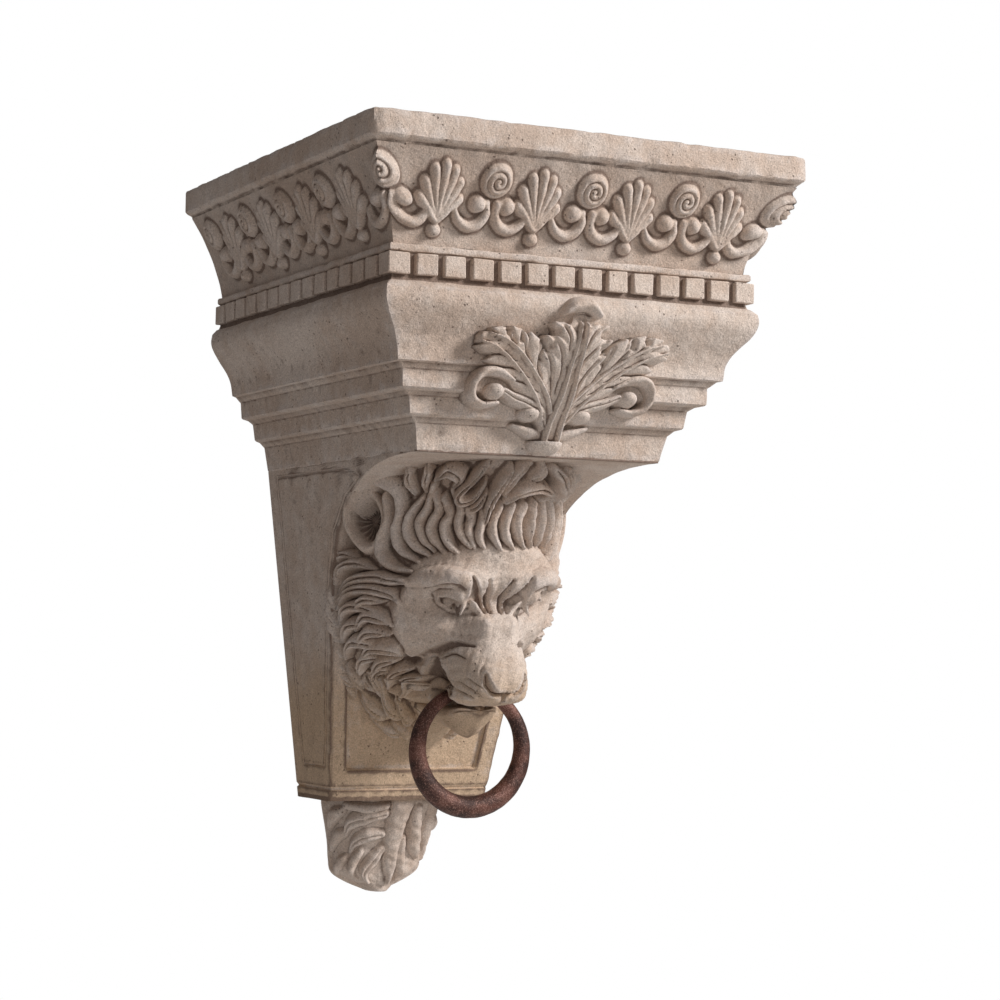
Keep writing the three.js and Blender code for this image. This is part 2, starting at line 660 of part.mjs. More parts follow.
// Open mouth: the room that the ring sweeps through as it swings, section by section
function mouthCut() {
  const reach = 1.12 * (ringRadius + ringWireFoot);
  const sections = [];
  const count = 12;
  for (const i of range(count + 1)) {
    const x = reach * (2 * i / count - 1);
    const inside = Math.min(Math.abs(x), ringRadius - 0.5);
    const drop = ringRadius - Math.sqrt(ringRadius ** 2 - inside ** 2);
    const wire = mix(ringWireTop, ringWireFoot, drop / (2 * ringRadius));
    const half = wire + ringClearance;
    const slant = half * ringRadius / Math.sqrt(ringRadius ** 2 - Math.min(inside, 0.86 * ringRadius) ** 2);
    const [back, front] = [-(ringSwingBack + 3), ringSwingForward + 4].map((a) => a * Math.PI / 180);
    const outline = [];
    const hub = [-ringFromWall, -ringPivotBelowShelf];
    for (const k of range(4)) {
      const turn = mix(back, front, k / 3);
      const far = drop + slant;
      outline.push([hub[0] - Math.sin(turn) * far, hub[1] - Math.cos(turn) * far]);
    }
    outline.push([outline[3][0] - half, outline[3][1] + 0.4 * half]);
    outline.push([hub[0] - half - 0.5 * drop * Math.sin(front), hub[1] + half]);
    outline.push([hub[0] + 0.6 * half, hub[1] + half]);
    outline.push([outline[0][0] + half, outline[0][1] + 0.6 * half]);
    sections.push(outline.map(([y, z]) => [x, y, z]));
  }
  return loft(sections);
}

// Lower jaw: runs out under the mouth, through the ring, to a pointed chin
function jaw() {
  const lip = -(ringPivotBelowShelf + ringWireTop + 2 * ringClearance) / unit;
  const middle = ringFromWall / unit;
  const stations = [
    [middle - 0.42, 0.28, 0, -0.2], [middle - 0.22, 0.23, -0.03, -0.24],
    [middle - 0.05, 0.2, -0.045, -0.28], [middle + 0.07, 0.165, -0.045, -0.19],
    [middle + 0.13, 0.11, -0.05, -0.12],
  ];
  return loft(stations.map(([depth, half, top, foot]) => [
    [-half, -depth, lip + top], [-0.75 * half, -depth, lip + mix(top, foot, 0.55)],
    [0, -depth, lip + foot], [0.75 * half, -depth, lip + mix(top, foot, 0.55)],
    [half, -depth, lip + top], [0, -depth, lip + top - 0.02],
  ].map((p) => p.map((v) => v * unit))));
}

function lion() {
  const body = union([headBody(), ...hair(), ear(-1), ear(1)]);
  return union([body.subtract(mouthCut()), jaw()]);
}

// Leaf drop: lobed half-round sections that narrow to a blunt tip
function leafDrop() {
  const keys = [
    [0, 0.16, 0.3], [0.1, 0.55, 0.4], [0.2, 0.8, 0.46], [0.34, 0.86, 0.54], [0.5, 0.88, 0.66],
    [0.66, 0.92, 0.8], [0.82, 0.97, 0.95], [0.93, 1, 1.08], [1.03, 1, 1.12],
  ];
  const rows = [0, 0.07, 0.18, 0.3, 0.42, 0.56, 0.7, 0.86, 1.03];
  const columns = 12;
  return loft(rows.map((up) => {
    const [wide, deep] = along(keys, up);
    const ring = range(columns + 1).map((i) => {
      const turn = Math.PI * (i / columns - 0.5);
      const lobes = 1 + 0.07 * Math.cos(6 * turn) * Math.sin(Math.PI * Math.min(1, 1.2 * up));
      const x = wide * dropWidth / 2 * Math.sign(Math.sin(turn)) * Math.abs(Math.sin(turn)) ** 0.8;
      const y = -deep * dropDepth * Math.cos(turn) * lobes;
      return [x * (i % columns ? lobes : 1), y, dropHeight * (up - 1) - pierHeight];
    });
    ring[0][1] = 0;
    ring[columns][1] = 0;
    return ring;
  }));
}

// Iron ring, thicker at its foot, hanging from the pivot in the mouth
function ringSolid() {
  const around = 28;
  const sides = 8;
  const rings = range(around).map((i) => {
    const turn = 2 * Math.PI * i / around;
    const wire = mix(ringWireTop, ringWireFoot, (1 - Math.cos(turn)) / 2);
    return range(sides).map((j) => {
      const roll = 2 * Math.PI * j / sides;
      const far = ringRadius + wire * Math.cos(roll);
      return [far * Math.sin(turn), wire * Math.sin(roll), far * Math.cos(turn) - ringRadius];
    });
  });
  const points = rings.flat();
  const triangles = [];
  for (const i of range(around)) {
    for (const j of range(sides)) {
      const [a, b] = [i * sides + j, i * sides + ((j + 1) % sides)];
      const [c, d] = [((i + 1) % around) * sides + j, ((i + 1) % around) * sides + ((j + 1) % sides)];
      triangles.push([a, b, d], [a, d, c]);
    }
  }
  return solid(points, triangles);
}

function bracketSolid() {
  const pier = pierBody().subtract(union([panelCut(), ...frameLineCuts()]));
  const bodies = [shelfBody(), ...dentils(), ...frieze(), ...spray(), pier, lion(), leafDrop()];
  return union(bodies).simplify(seamTolerance);
}

function meshOf(name, body, material) {
  const { vertProperties, triVerts } = body.getMesh();
  const geometry = new THREE.BufferGeometry();
  geometry.setAttribute('position', new THREE.BufferAttribute(vertProperties, 3));
  geometry.setIndex(new THREE.BufferAttribute(triVerts, 1));
  geometry.computeVertexNormals();
  const mesh = new THREE.Mesh(geometry, material);
  mesh.name = name;
  return mesh;
}

const stone = new THREE.MeshStandardMaterial({ color: 0xc9b9a6, roughness: 0.92, metalness: 0 });
const iron = new THREE.MeshStandardMaterial({ color: 0x5a3e37, roughness: 0.65, metalness: 0.6 });

const wallBracket = new THREE.Group();
wallBracket.add(meshOf('bracket', bracketSolid(), stone));
const ring = meshOf('ring', ringSolid(), iron);
ring.position.set(0, -ringFromWall, -ringPivotBelowShelf);
wallBracket.add(ring);

export default wallBracket;
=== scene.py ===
"""Looks of the wall bracket: a weathered cast shelf on a pier, with a lion head and an iron ring.

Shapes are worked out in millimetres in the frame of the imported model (X to the right, the wall
at Y = 0, the front towards -Y, the underside of the shelf at Z = 0) and made in metres.
"""

import logging
import math
from dataclasses import dataclass, field
from enum import Enum
from typing import Any, Optional, Sequence

import bmesh
import bpy
import numpy as np
from mathutils import Matrix


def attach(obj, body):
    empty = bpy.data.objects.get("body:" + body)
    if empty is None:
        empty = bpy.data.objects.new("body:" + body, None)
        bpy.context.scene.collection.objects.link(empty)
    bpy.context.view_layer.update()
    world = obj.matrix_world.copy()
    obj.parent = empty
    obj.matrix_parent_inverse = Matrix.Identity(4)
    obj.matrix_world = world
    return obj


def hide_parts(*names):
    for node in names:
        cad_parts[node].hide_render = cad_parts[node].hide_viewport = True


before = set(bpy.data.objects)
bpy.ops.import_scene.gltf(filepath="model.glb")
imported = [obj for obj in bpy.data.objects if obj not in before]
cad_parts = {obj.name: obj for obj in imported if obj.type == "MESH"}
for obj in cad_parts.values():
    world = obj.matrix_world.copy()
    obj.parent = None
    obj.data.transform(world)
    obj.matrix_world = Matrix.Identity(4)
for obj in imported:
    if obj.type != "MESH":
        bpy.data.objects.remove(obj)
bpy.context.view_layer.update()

MM = 0.001
WALL_COLUMNS = 4
LOG = logging.getLogger("wall_bracket")
Array = np.ndarray


class Face(Enum):
    """The three carved faces of the shelf."""

    FRONT = "front"
    LEFT = "left"
    RIGHT = "right"


# Sums on whole arrays


def eased(low: float, high: float, value: Array) -> Array:
    """Share of the way from low to high, cut to 0 and 1 and eased at both ends (3t^2 - 2t^3)."""
    share = np.clip((value - low) / (high - low), 0.0, 1.0)
    return share * share * (3.0 - 2.0 * share)


def mixed(first: Any, second: Any, share: Any) -> Any:
    """The value that lies the given share of the way from the first to the second."""
    return first + (second - first) * share


def hill(x: Array, z: Array, cx: float, cz: Array, wide: float, high: float, power: float = 2.0) -> Array:
    """A round hill of height 1: e^-((x off centre / wide)^power + (z off centre / high)^power)."""
    return np.exp(-np.abs((x - cx) / wide) ** power - np.abs((z - cz) / high) ** power)


def smooth_path(points: Sequence[Sequence[float]], count: int) -> Array:
    """Places along a smooth curve that passes through every given point.

    Args:
        points: Two or more points, each with the same number of coordinates.
        count: How many places to give.

    Returns:
        An array of count rows. Between two points it is the cubic that leaves each point in the
        direction from its neighbour before to its neighbour after.
    """
    given = np.asarray(points, dtype=float)
    padded = np.vstack([2 * given[0] - given[1], given, 2 * given[-1] - given[-2]])
    place = np.linspace(0, len(given) - 1, count)
    first = np.minimum(place.astype(int), len(given) - 2)
    t = (place - first)[:, None]
    a, b, c, d = (padded[first + k] for k in range(4))
    return 0.5 * (2 * b + (c - a) * t + (2 * a - 5 * b + 4 * c - d) * t**2 + (3 * b - a - 3 * c + d) * t**3)


def along_keys(keys: Sequence[Sequence[float]], place: Array) -> Array:
    """Smooth values along keys of (place, value, value, ...) in rising order.

    Args:
        keys: The keys.
        place: Where the values are wanted.

    Returns:
        An array with the values on its last axis, from cubics whose slope at a key is that of the
        line between its two neighbours.
    """
    table = np.asarray(keys, dtype=float)
    at = np.clip(place, table[0, 0], table[-1, 0] - 1e-9)
    i = np.clip(np.searchsorted(table[:, 0], at, side="right") - 1, 0, len(table) - 2)
    k0, k1 = table[np.maximum(i - 1, 0)], table[i]
    k2, k3 = table[i + 1], table[np.minimum(i + 2, len(table) - 1)]
    span = k2[..., :1] - k1[..., :1]
    t = (at - k1[..., 0])[..., None] / span
    slope_in = (k2 - k0) / (k2[..., :1] - k0[..., :1]) * span
    slope_out = (k3 - k1) / (k3[..., :1] - k1[..., :1]) * span
    values = (k1 * (2 * t**3 - 3 * t**2 + 1) + k2 * (3 * t**2 - 2 * t**3)
              + slope_in * (t**3 - 2 * t**2 + t) + slope_out * (t**3 - t**2))
    return values[..., 1:]


def uneven(points: Array, spacing: float, seed: int) -> Array:
    """Smooth unevenness between about -1 and 1: the mean of ten sine waves in seeded directions.

    Args:
        points: Places, with their three coordinates on the last axis.
        spacing: Distance from hump to hump, in the same unit.
        seed: Which set of directions is used.

    Returns:
        One value for each place.
    """
    chance = np.random.default_rng(seed)
    waves = chance.normal(size=(3, 10))
    waves *= 2 * math.pi / spacing * chance.uniform(0.6, 1.5, 10) / np.linalg.norm(waves, axis=0)
    phases = chance.uniform(0, 2 * math.pi, 10)
    return np.sin(points @ waves + phases).sum(axis=-1) / 4.5


@dataclass(frozen=True)
class Stroke:
    """One carved stroke: a rounded ridge along a curve, with finer grooves along it.

    Attributes:
        path: Points that the middle of the stroke passes through.
        half: Half widths at even steps along it.
        height: Height of its crest, or below zero for a cut.
        strands: How many strands the ridge is split into.
        body: Exponent of its cross-section: 0.5 is half round, 1 is sharper.
        ends: Share of the height left at its start and at its tip.
    """

    path: Sequence[Sequence[float]]
    half: Sequence[float]
    height: float
    strands: int = 1
    body: float = 0.5
    ends: tuple[float, float] = (0.35, 0.25)

    def over(self, u: Array, v: Array) -> Array:
        """Height of the stroke at each place (u, v), zero away from it.

        The crest height times (1 - (distance / half width)^2)^body, times 1 less a share at the
        grooves between the strands, times a sine that sinks towards both ends.

        Args:
            u: First coordinate of the places.
            v: Second coordinate of the places.

        Returns:
            The height, positive also for a cut, in the shape of u.
        """
        steps = 6 * len(self.path)
        curve = smooth_path(self.path, steps)
        shares = np.linspace(0, 1, steps)
        widths = np.interp(shares, np.linspace(0, 1, len(self.half)), self.half)
        reach = max(self.half)
        low, high = curve.min(axis=0) - reach, curve.max(axis=0) + reach
        near = (u > low[0]) & (u < high[0]) & (v > low[1]) & (v < high[1])
        result = np.zeros_like(u)
        if not near.any():
            return result
        pu, pv = u[near], v[near]
        best = np.full(pu.shape, np.inf)
        across = np.zeros_like(pu)
        share = np.zeros_like(pu)
        for i in range(steps - 1):
            run = curve[i + 1] - curve[i]
            length = float(run @ run) or 1e-12
            t = np.clip(((pu - curve[i, 0]) * run[0] + (pv - curve[i, 1]) * run[1]) / length, 0, 1)
            du = pu - curve[i, 0] - t * run[0]
            dv = pv - curve[i, 1] - t * run[1]
            distance = np.hypot(du, dv)
            closer = distance < best
            best = np.where(closer, distance, best)
            across = np.where(closer, distance * np.sign(du * run[1] - dv * run[0]), across)
            share = np.where(closer, (i + t) / (steps - 1), share)
        half = np.interp(share, shares, widths) + 1e-9
        dome = np.clip(1 - (best / half) ** 2, 0, 1) ** self.body
        if self.strands > 1:
            wave = 0.5 + 0.5 * np.cos(math.pi * self.strands * (across / half + 1))
            dome = dome * (1 - 0.3 * wave**3)
        bow = np.sin(math.pi * np.clip(0.12 + 0.8 * share, 0, 1)) ** 0.6
        floor = mixed(self.ends[0], self.ends[1], share)
        result[near] = abs(self.height) * dome * (floor + (1 - floor) * bow)
        return result


def highest(u: Array, v: Array, strokes: Sequence[Stroke]) -> Array:
    """The height of whichever stroke stands highest at each place.

    Args:
        u: First coordinate of the places.
        v: Second coordinate of the places.
        strokes: The strokes.

    Returns:
        The height, zero where no stroke reaches.
    """
    height = np.zeros_like(u)
    for stroke in strokes:
        height = np.maximum(height, stroke.over(u, v))
    return height


def tallest(*heights: Array) -> Array:
    """The highest of several heights at each place."""
    return np.maximum.reduce(heights)


def button(u: Array, v: Array, cu: float, cv: float, wide: float, high: float, height: float) -> Array:
    """A half round boss: height times the square root of 1 - (u off / wide)^2 - (v off / high)^2."""
    return height * np.sqrt(np.clip(1 - ((u - cu) / wide) ** 2 - ((v - cv) / high) ** 2, 0, 1))


# Surfaces and pieces


def blurred(grid: Array, rounds: int) -> Array:
    """A grid whose every place is the mean of itself and its four neighbours, the given times over.

    Args:
        grid: Rows and columns of numbers or points.
        rounds: How many times.

    Returns:
        The blurred grid.
    """
    for _ in range(rounds):
        padded = np.pad(grid, [(1, 1), (1, 1)] + [(0, 0)] * (grid.ndim - 2), mode="edge")
        grid = (grid + padded[:-2, 1:-1] + padded[2:, 1:-1] + padded[1:-1, :-2] + padded[1:-1, 2:]) / 5
    return grid


def normals_of(grid: Array) -> Array:
    """Unit normals of a grid of points: across its rows crossed with along its rows."""
    normal = np.cross(np.gradient(grid, axis=1), np.gradient(grid, axis=0))
    return normal / (np.linalg.norm(normal, axis=-1, keepdims=True) + 1e-12)


def clean_wall(hollow: Array) -> Array:
    """The hollow of a body of rows round three sides, zero on the five spans of its face at the wall.

    Args:
        hollow: The hollow of each point, by rows and columns.

    Returns:
        The same array.
    """
    hollow[:, -WALL_COLUMNS - 1:] = 0
    hollow[:, 0] = 0
    return hollow


@dataclass
class Surface:
    """Points and four-sided faces of a surface, in millimetres, with how hollow each point lies."""

    points: Array
    quads: Array
    hollow: Array

    @classmethod
    def of_grid(cls, grid: Array, outward: Optional[Array] = None, closed_rows: bool = False,
                rounds: int = 7, depth: float = 0.9, drop: Optional[Array] = None) -> "Surface":
        """A surface from a grid of points.

        A point's hollow is how far the blurred grid stands out past it, as a share of depth:
        above 0 in grooves and below 0 on crests.

        Args:
            grid: Rows and columns of points.
            outward: A direction that the faces mostly point to. Where it is left out, the surface
                is a closed one and its faces point away from what it holds.
            closed_rows: Whether the last column joins the first.
            rounds: How far the blur reaches, in steps.
            depth: Hollow depth that counts as 1.
            drop: Marks the points whose faces are left out where all four are marked.

        Returns:
            The surface.
        """
        rows, columns = grid.shape[:2]
        number = np.arange(rows * columns).reshape(rows, columns)
        if closed_rows:
            number = np.hstack([number, number[:, :1]])
        quads = np.stack([number[:-1, :-1], number[:-1, 1:], number[1:, 1:], number[1:, :-1]], axis=-1)
        quads = quads.reshape(-1, 4)
        if drop is not None:
            quads = quads[~drop.reshape(-1)[quads].all(axis=1)]
        points = grid.reshape(-1, 3)
        a, b, c, d = (points[quads[:, k]] for k in range(4))
        normal = np.cross(c - a, d - b)
        turned = float((normal * (a + c)).sum()) if outward is None else float((normal @ outward).sum())
        if turned < 0:
            quads = quads[:, ::-1]
        out = normals_of(grid) if rows > 2 and columns > 2 else np.zeros_like(grid)
        if outward is not None and float((out @ outward).sum()) < 0:
            out = -out
        hollow = ((blurred(grid, rounds) - grid) * out).sum(axis=-1) / depth
        if outward is None and turned * float(((out * grid).sum())) < 0:
            hollow = -hollow
        hollow[0], hollow[-1] = hollow[1], hollow[-2]
        if not closed_rows:
            hollow[:, 0], hollow[:, -1] = hollow[:, 1], hollow[:, -2]
        return cls(points, quads, np.clip(hollow, -1, 1).reshape(-1))

    @classmethod
    def joined(cls, parts: Sequence["Surface"]) -> "Surface":
        """Joins surfaces.

        Args:
            parts: The surfaces.

        Returns:
            All of them as one.
        """
        starts = np.cumsum([0] + [len(part.points) for part in parts])
        return cls(
            np.vstack([part.points for part in parts]),
            np.vstack([part.quads + start for part, start in zip(parts, starts)]),
            np.concatenate([part.hollow for part in parts]),
        )

    def piece(self, name: str, sharp_degrees: float = 60.0) -> bpy.types.Object:
        """The surface as a Blender object in metres, its doubled points merged.

        Args:
            name: Name of the piece.
            sharp_degrees: Edges that turn more than this stay sharp.

        Returns:
            The object, at the origin, with the hollow of each point as an attribute.
        """
        mesh = bpy.data.meshes.new(name)
        mesh.vertices.add(len(self.points))
        mesh.vertices.foreach_set("co", (self.points * MM).astype(np.float32).reshape(-1))
        mesh.loops.add(self.quads.size)
        mesh.loops.foreach_set("vertex_index", self.quads.astype(np.int32).reshape(-1))
        mesh.polygons.add(len(self.quads))
        mesh.polygons.foreach_set("loop_start", np.arange(0, self.quads.size, 4, dtype=np.int32))
        mesh.update(calc_edges=True)
        mesh.attributes.new("hollow", "FLOAT", "POINT")
        mesh.attributes["hollow"].data.foreach_set("value", self.hollow.astype(np.float32))
        shape = bmesh.new()
        shape.from_mesh(mesh)
        bmesh.ops.remove_doubles(shape, verts=shape.verts, dist=2e-6)
        loose = [vert for vert in shape.verts if not vert.link_faces]
        bmesh.ops.delete(shape, geom=loose, context="VERTS")
        shape.to_mesh(mesh)
        shape.free()
        mesh.polygons.foreach_set("use_smooth", np.ones(len(mesh.polygons), dtype=bool))
        mesh.set_sharp_from_angle(angle=math.radians(sharp_degrees))
        made = bpy.data.objects.new(name, mesh)
        bpy.context.scene.collection.objects.link(made)
        return made


def loft(sections: Array, outward: Optional[Array] = None, rounds: int = 4, depth: float = 0.9) -> Surface:
    """A closed body through rings of points, its two ends drawn together to their middles.

    Args:
        sections: Rings of points, from one end to the other.
        outward: A direction that the faces mostly point to, if it is open.
        rounds: How far the blur for the hollow reaches.
        depth: Hollow depth that counts as 1.

    Returns:
        The body.
    """
    first = np.repeat(sections[:1].mean(axis=1, keepdims=True), sections.shape[1], axis=1)
    last = np.repeat(sections[-1:].mean(axis=1, keepdims=True), sections.shape[1], axis=1)
    return Surface.of_grid(np.concatenate([first, sections, last]), outward, True, rounds, depth)


# Materials


class Number:
    """A socket that carries a number, with arithmetic that adds Math nodes to its tree."""

    def __init__(self, tree: "Tree", socket: bpy.types.NodeSocket) -> None:
        """Wraps a socket of the tree."""
        self.tree = tree
        self.socket = socket

    def _sum(self, operation: str, first: Any, second: Any) -> "Number":
        """The Math node of the operation on the two values, as a number."""
        made = self.tree.node("ShaderNodeMath", {"operation": operation}, {0: first, 1: second})
        return Number(self.tree, made.outputs[0])

    def __add__(self, other: Any) -> "Number":
        """This plus the other."""
        return self._sum("ADD", self, other)

    def __sub__(self, other: Any) -> "Number":
        """This less the other."""
        return self._sum("SUBTRACT", self, other)

    def __rsub__(self, other: Any) -> "Number":
        """The other less this."""
        return self._sum("SUBTRACT", other, self)

    def __mul__(self, other: Any) -> "Number":
        """This times the other."""
        return self._sum("MULTIPLY", self, other)

    __radd__ = __add__
    __rmul__ = __mul__

    def between(self, low: float, high: float) -> "Number":
        """Its share of the way from low to high, cut to 0 and 1 and eased.

        Args:
            low: Value that gives 0.
            high: Value that gives 1.

        Returns:
            The share.
        """
        settings = {"interpolation_type": "SMOOTHSTEP"}
        sockets = {"Value": self, "From Min": low, "From Max": high}
        return Number(self.tree, self.tree.node("ShaderNodeMapRange", settings, sockets).outputs["Result"])


@dataclass
class Tree:
    """The node tree of one material, with its shader and its coordinates."""

    material: bpy.types.Material
    shader: bpy.types.Node = field(init=False)
    place: bpy.types.NodeSocket = field(init=False)

    def __post_init__(self) -> None:
        """Finds the shader and adds the Object coordinates."""
        self.material.use_nodes = True
        self.shader = self.material.node_tree.nodes["Principled BSDF"]
        self.place = self.node("ShaderNodeTexCoord").outputs["Object"]

    def node(self, kind: str, settings: Optional[dict] = None, sockets: Optional[dict] = None) -> Any:
        """Adds one node.

        Args:
            kind: Its type.
            settings: Attributes to set first.
            sockets: Values or links of its inputs, by name or number.

        Returns:
            The node.
        """
        made = self.material.node_tree.nodes.new(kind)
        for name, value in (settings or {}).items():
            setattr(made, name, value)
        for name, value in (sockets or {}).items():
            source = value.socket if isinstance(value, Number) else value
            if isinstance(source, bpy.types.NodeSocket):
                self.material.node_tree.links.new(source, made.inputs[name])
            else:
                made.inputs[name].default_value = source
        return made

    def noise(self, scale: float, detail: float = 4.0, roughness: float = 0.6) -> Number:
        """Noise on the Object coordinates, with the given cells to the metre.

        Args:
            scale: Cells to the metre.
            detail: How many finer layers it has.
            roughness: How strong the finer layers are.

        Returns:
            A number between 0 and 1.
        """
        sockets = {"Vector": self.place, "Scale": scale, "Detail": detail, "Roughness": roughness}
        return Number(self, self.node("ShaderNodeTexNoise", None, sockets).outputs["Fac"])

    def cells(self, scale: float) -> Number:
        """Distance to the nearest of scattered centres, with the given cells to the metre."""
        sockets = {"Vector": self.place, "Scale": scale}
        return Number(self, self.node("ShaderNodeTexVoronoi", None, sockets).outputs["Distance"])

    def stored(self, name: str) -> Number:
        """The piece's own attribute of that name."""
        made = self.node("ShaderNodeAttribute", {"attribute_type": "GEOMETRY", "attribute_name": name})
        return Number(self, made.outputs["Fac"])

    def blend(self, share: Any, first: Any, second: Any, mode: str = "MIX") -> Any:
        """A colour the given share of the way from the first colour to the second.

        Args:
            share: How far to go, from 0 to 1.
            first: The first colour.
            second: The second colour.
            mode: How the second is laid on the first.

        Returns:
            The socket of the colour.
        """
        settings = {"data_type": "RGBA", "blend_type": mode, "clamp_factor": True}
        made = self.node("ShaderNodeMix", settings, {0: share, 6: first, 7: second})
        return made.outputs[2]

    def link(self, source: Any, socket: str) -> None:
        """Links a value or colour to the shader's socket of that name."""
        output = source.socket if isinstance(source, Number) else source
        self.material.node_tree.links.new(output, self.shader.inputs[socket])

    def bump(self, height: Number, distance: float, strength: float = 1.0) -> None:
        """Links a bump of the given height in metres to the shader's normal."""
        sockets = {"Height": height, "Distance": distance, "Strength": strength}
        self.link(self.node("ShaderNodeBump", None, sockets).outputs["Normal"], "Normal")


@dataclass(frozen=True)
class WeatheredStone:
    """Matt cast stone: warm beige with paler dust and a painted highlight on the crests, darker dirt and
    painted shade in the hollows, grain and small pits.
    """

    warm: tuple = (0.58, 0.465, 0.385, 1.0)
    pale: tuple = (0.70, 0.61, 0.54, 1.0)
    tan: tuple = (0.60, 0.44, 0.295, 1.0)
    dirt_and_shade: tuple = (0.165, 0.11, 0.085, 1.0)
    dust_and_highlight: tuple = (0.66, 0.60, 0.565, 1.0)
    roughness: float = 0.93
    tan_from: float = -0.125
    tan_to: float = -0.20
    tan_foot: float = -0.262

    def material(self, name: str) -> bpy.types.Material:
        """The finish as a material.

        Colour goes from warm to pale by two sizes of noise, to tan down the pier, to dust and painted
        highlight on the crests, to dust in patches and to dirt and painted shade in the hollows, and is
        dotted by dark pits. Roughness is even.

        Args:
            name: Name of the material.

        Returns:
            The material.
        """
        tree = Tree(bpy.data.materials.new(name))
        hollow = tree.stored("hollow")
        clouds = tree.noise(11.0, 5.0, 0.55)
        mottle = tree.noise(70.0, 5.0, 0.65)
        grain = tree.noise(900.0, 3.0, 0.7)
        height = Number(tree, tree.node("ShaderNodeSeparateXYZ", None, {0: tree.place}).outputs["Z"])
        colour = tree.blend((clouds * 0.6 + mottle * 0.4).between(0.38, 0.62), self.warm, self.pale)
        lower = (height + (clouds - 0.5) * 0.05).between(self.tan_from, self.tan_to)
        on_pier = height.between(self.tan_foot - 0.004, self.tan_foot)
        colour = tree.blend(lower * on_pier * 0.85, colour, self.tan)
        # painted highlight and dust: the crests, where the hollow is below zero, are lightened towards the
        # dust colour
        crest = (hollow * -1.0).between(0.05, 0.7) * mottle.between(0.35, 0.6)
        colour = tree.blend(crest * 0.45, colour, self.dust_and_highlight)
        dusty = tree.noise(23.0, 6.0, 0.7).between(0.56, 0.72)
        colour = tree.blend(dusty * 0.4, colour, self.dust_and_highlight)
        # dirt and painted shade: the hollows are darkened towards the dirt and shade colour
        colour = tree.blend((hollow + (mottle - 0.5) * 0.7).between(0.06, 0.85) * 0.8, colour, self.dirt_and_shade)
        pits = (1.0 - tree.cells(230.0).between(0.10, 0.22)) * tree.noise(60.0, 2.0).between(0.56, 0.62)
        pores = (1.0 - tree.cells(620.0).between(0.12, 0.3)) * tree.noise(130.0, 2.0).between(0.5, 0.6)
        colour = tree.blend(pits * 0.62 + pores * 0.25, colour, self.dirt_and_shade)
        speckle = tree.blend(grain.between(0.3, 0.7), (0.76, 0.76, 0.76, 1.0), (1.18, 1.18, 1.18, 1.0))
        tree.link(tree.blend(1.0, colour, speckle, "MULTIPLY"), "Base Color")
        tree.shader.inputs["Roughness"].default_value = self.roughness
        tree.shader.inputs["Specular IOR Level"].default_value = 0.25
        relief = mottle * 0.5 + tree.noise(260.0, 5.0, 0.65) * 0.42 + grain * 0.10
        tree.bump(relief - pits * 0.4 - pores * 0.18, 0.0028, 0.9)
        return tree.material


@dataclass(frozen=True)
class RustedIron:
    """Dark brown rusted iron, pitted and speckled with dry lighter rust."""

    dark: tuple = (0.045, 0.020, 0.016, 1.0)
    brown: tuple = (0.145, 0.058, 0.042, 1.0)
    speck: tuple = (0.33, 0.19, 0.15, 1.0)
    roughness: float = 0.42

    def material(self, name: str) -> bpy.types.Material:
        """The finish as a material, its colour and roughness from three sizes of noise.

        Args:
            name: Name of the material.

        Returns:
            The material.
        """
        tree = Tree(bpy.data.materials.new(name))
        clouds = tree.noise(60.0, 5.0, 0.6)
        grain = tree.noise(520.0, 4.0, 0.7)
        specks = tree.noise(1100.0, 2.0, 0.6)
        colour = tree.blend(clouds.between(0.36, 0.62), self.dark, self.brown)
        colour = tree.blend((specks + (clouds - 0.5) * 0.3).between(0.50, 0.66) * 0.8, colour, self.speck)
        tree.link(colour, "Base Color")
        tree.link((grain * 0.35 + self.roughness - 0.12), "Roughness")
        tree.shader.inputs["Metallic"].default_value = 0.35
        tree.bump(grain * 0.7 + specks * 0.3, 0.0011, 0.8)
        return tree.material


@dataclass(frozen=True)
class PaleFloor:
    """Even pale paint for the studio floor."""

    colour: tuple = (0.88, 0.88, 0.87, 1.0)

    def material(self, name: str) -> bpy.types.Material:
        """The finish as a material of one pale colour.

        Args:
            name: Name of the material.

        Returns:
            The material.
        """
        tree = Tree(bpy.data.materials.new(name))
        tree.shader.inputs["Base Color"].default_value = self.colour
        tree.shader.inputs["Roughness"].default_value = 0.9
        return tree.material


def place_piece(piece: bpy.types.Object, finish: bpy.types.Material, node: str) -> None:
    """Dresses a piece, seats it on its body and hides the node that it stands for.

    Args:
        piece: The piece.
        finish: Its material.
        node: "bracket" or "ring", which names the node and its body.
    """
    piece.data.materials.append(finish)
    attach(piece, node)
    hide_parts(node)
    LOG.info("%s: %d faces", piece.name, len(piece.data.polygons))


# The shelf


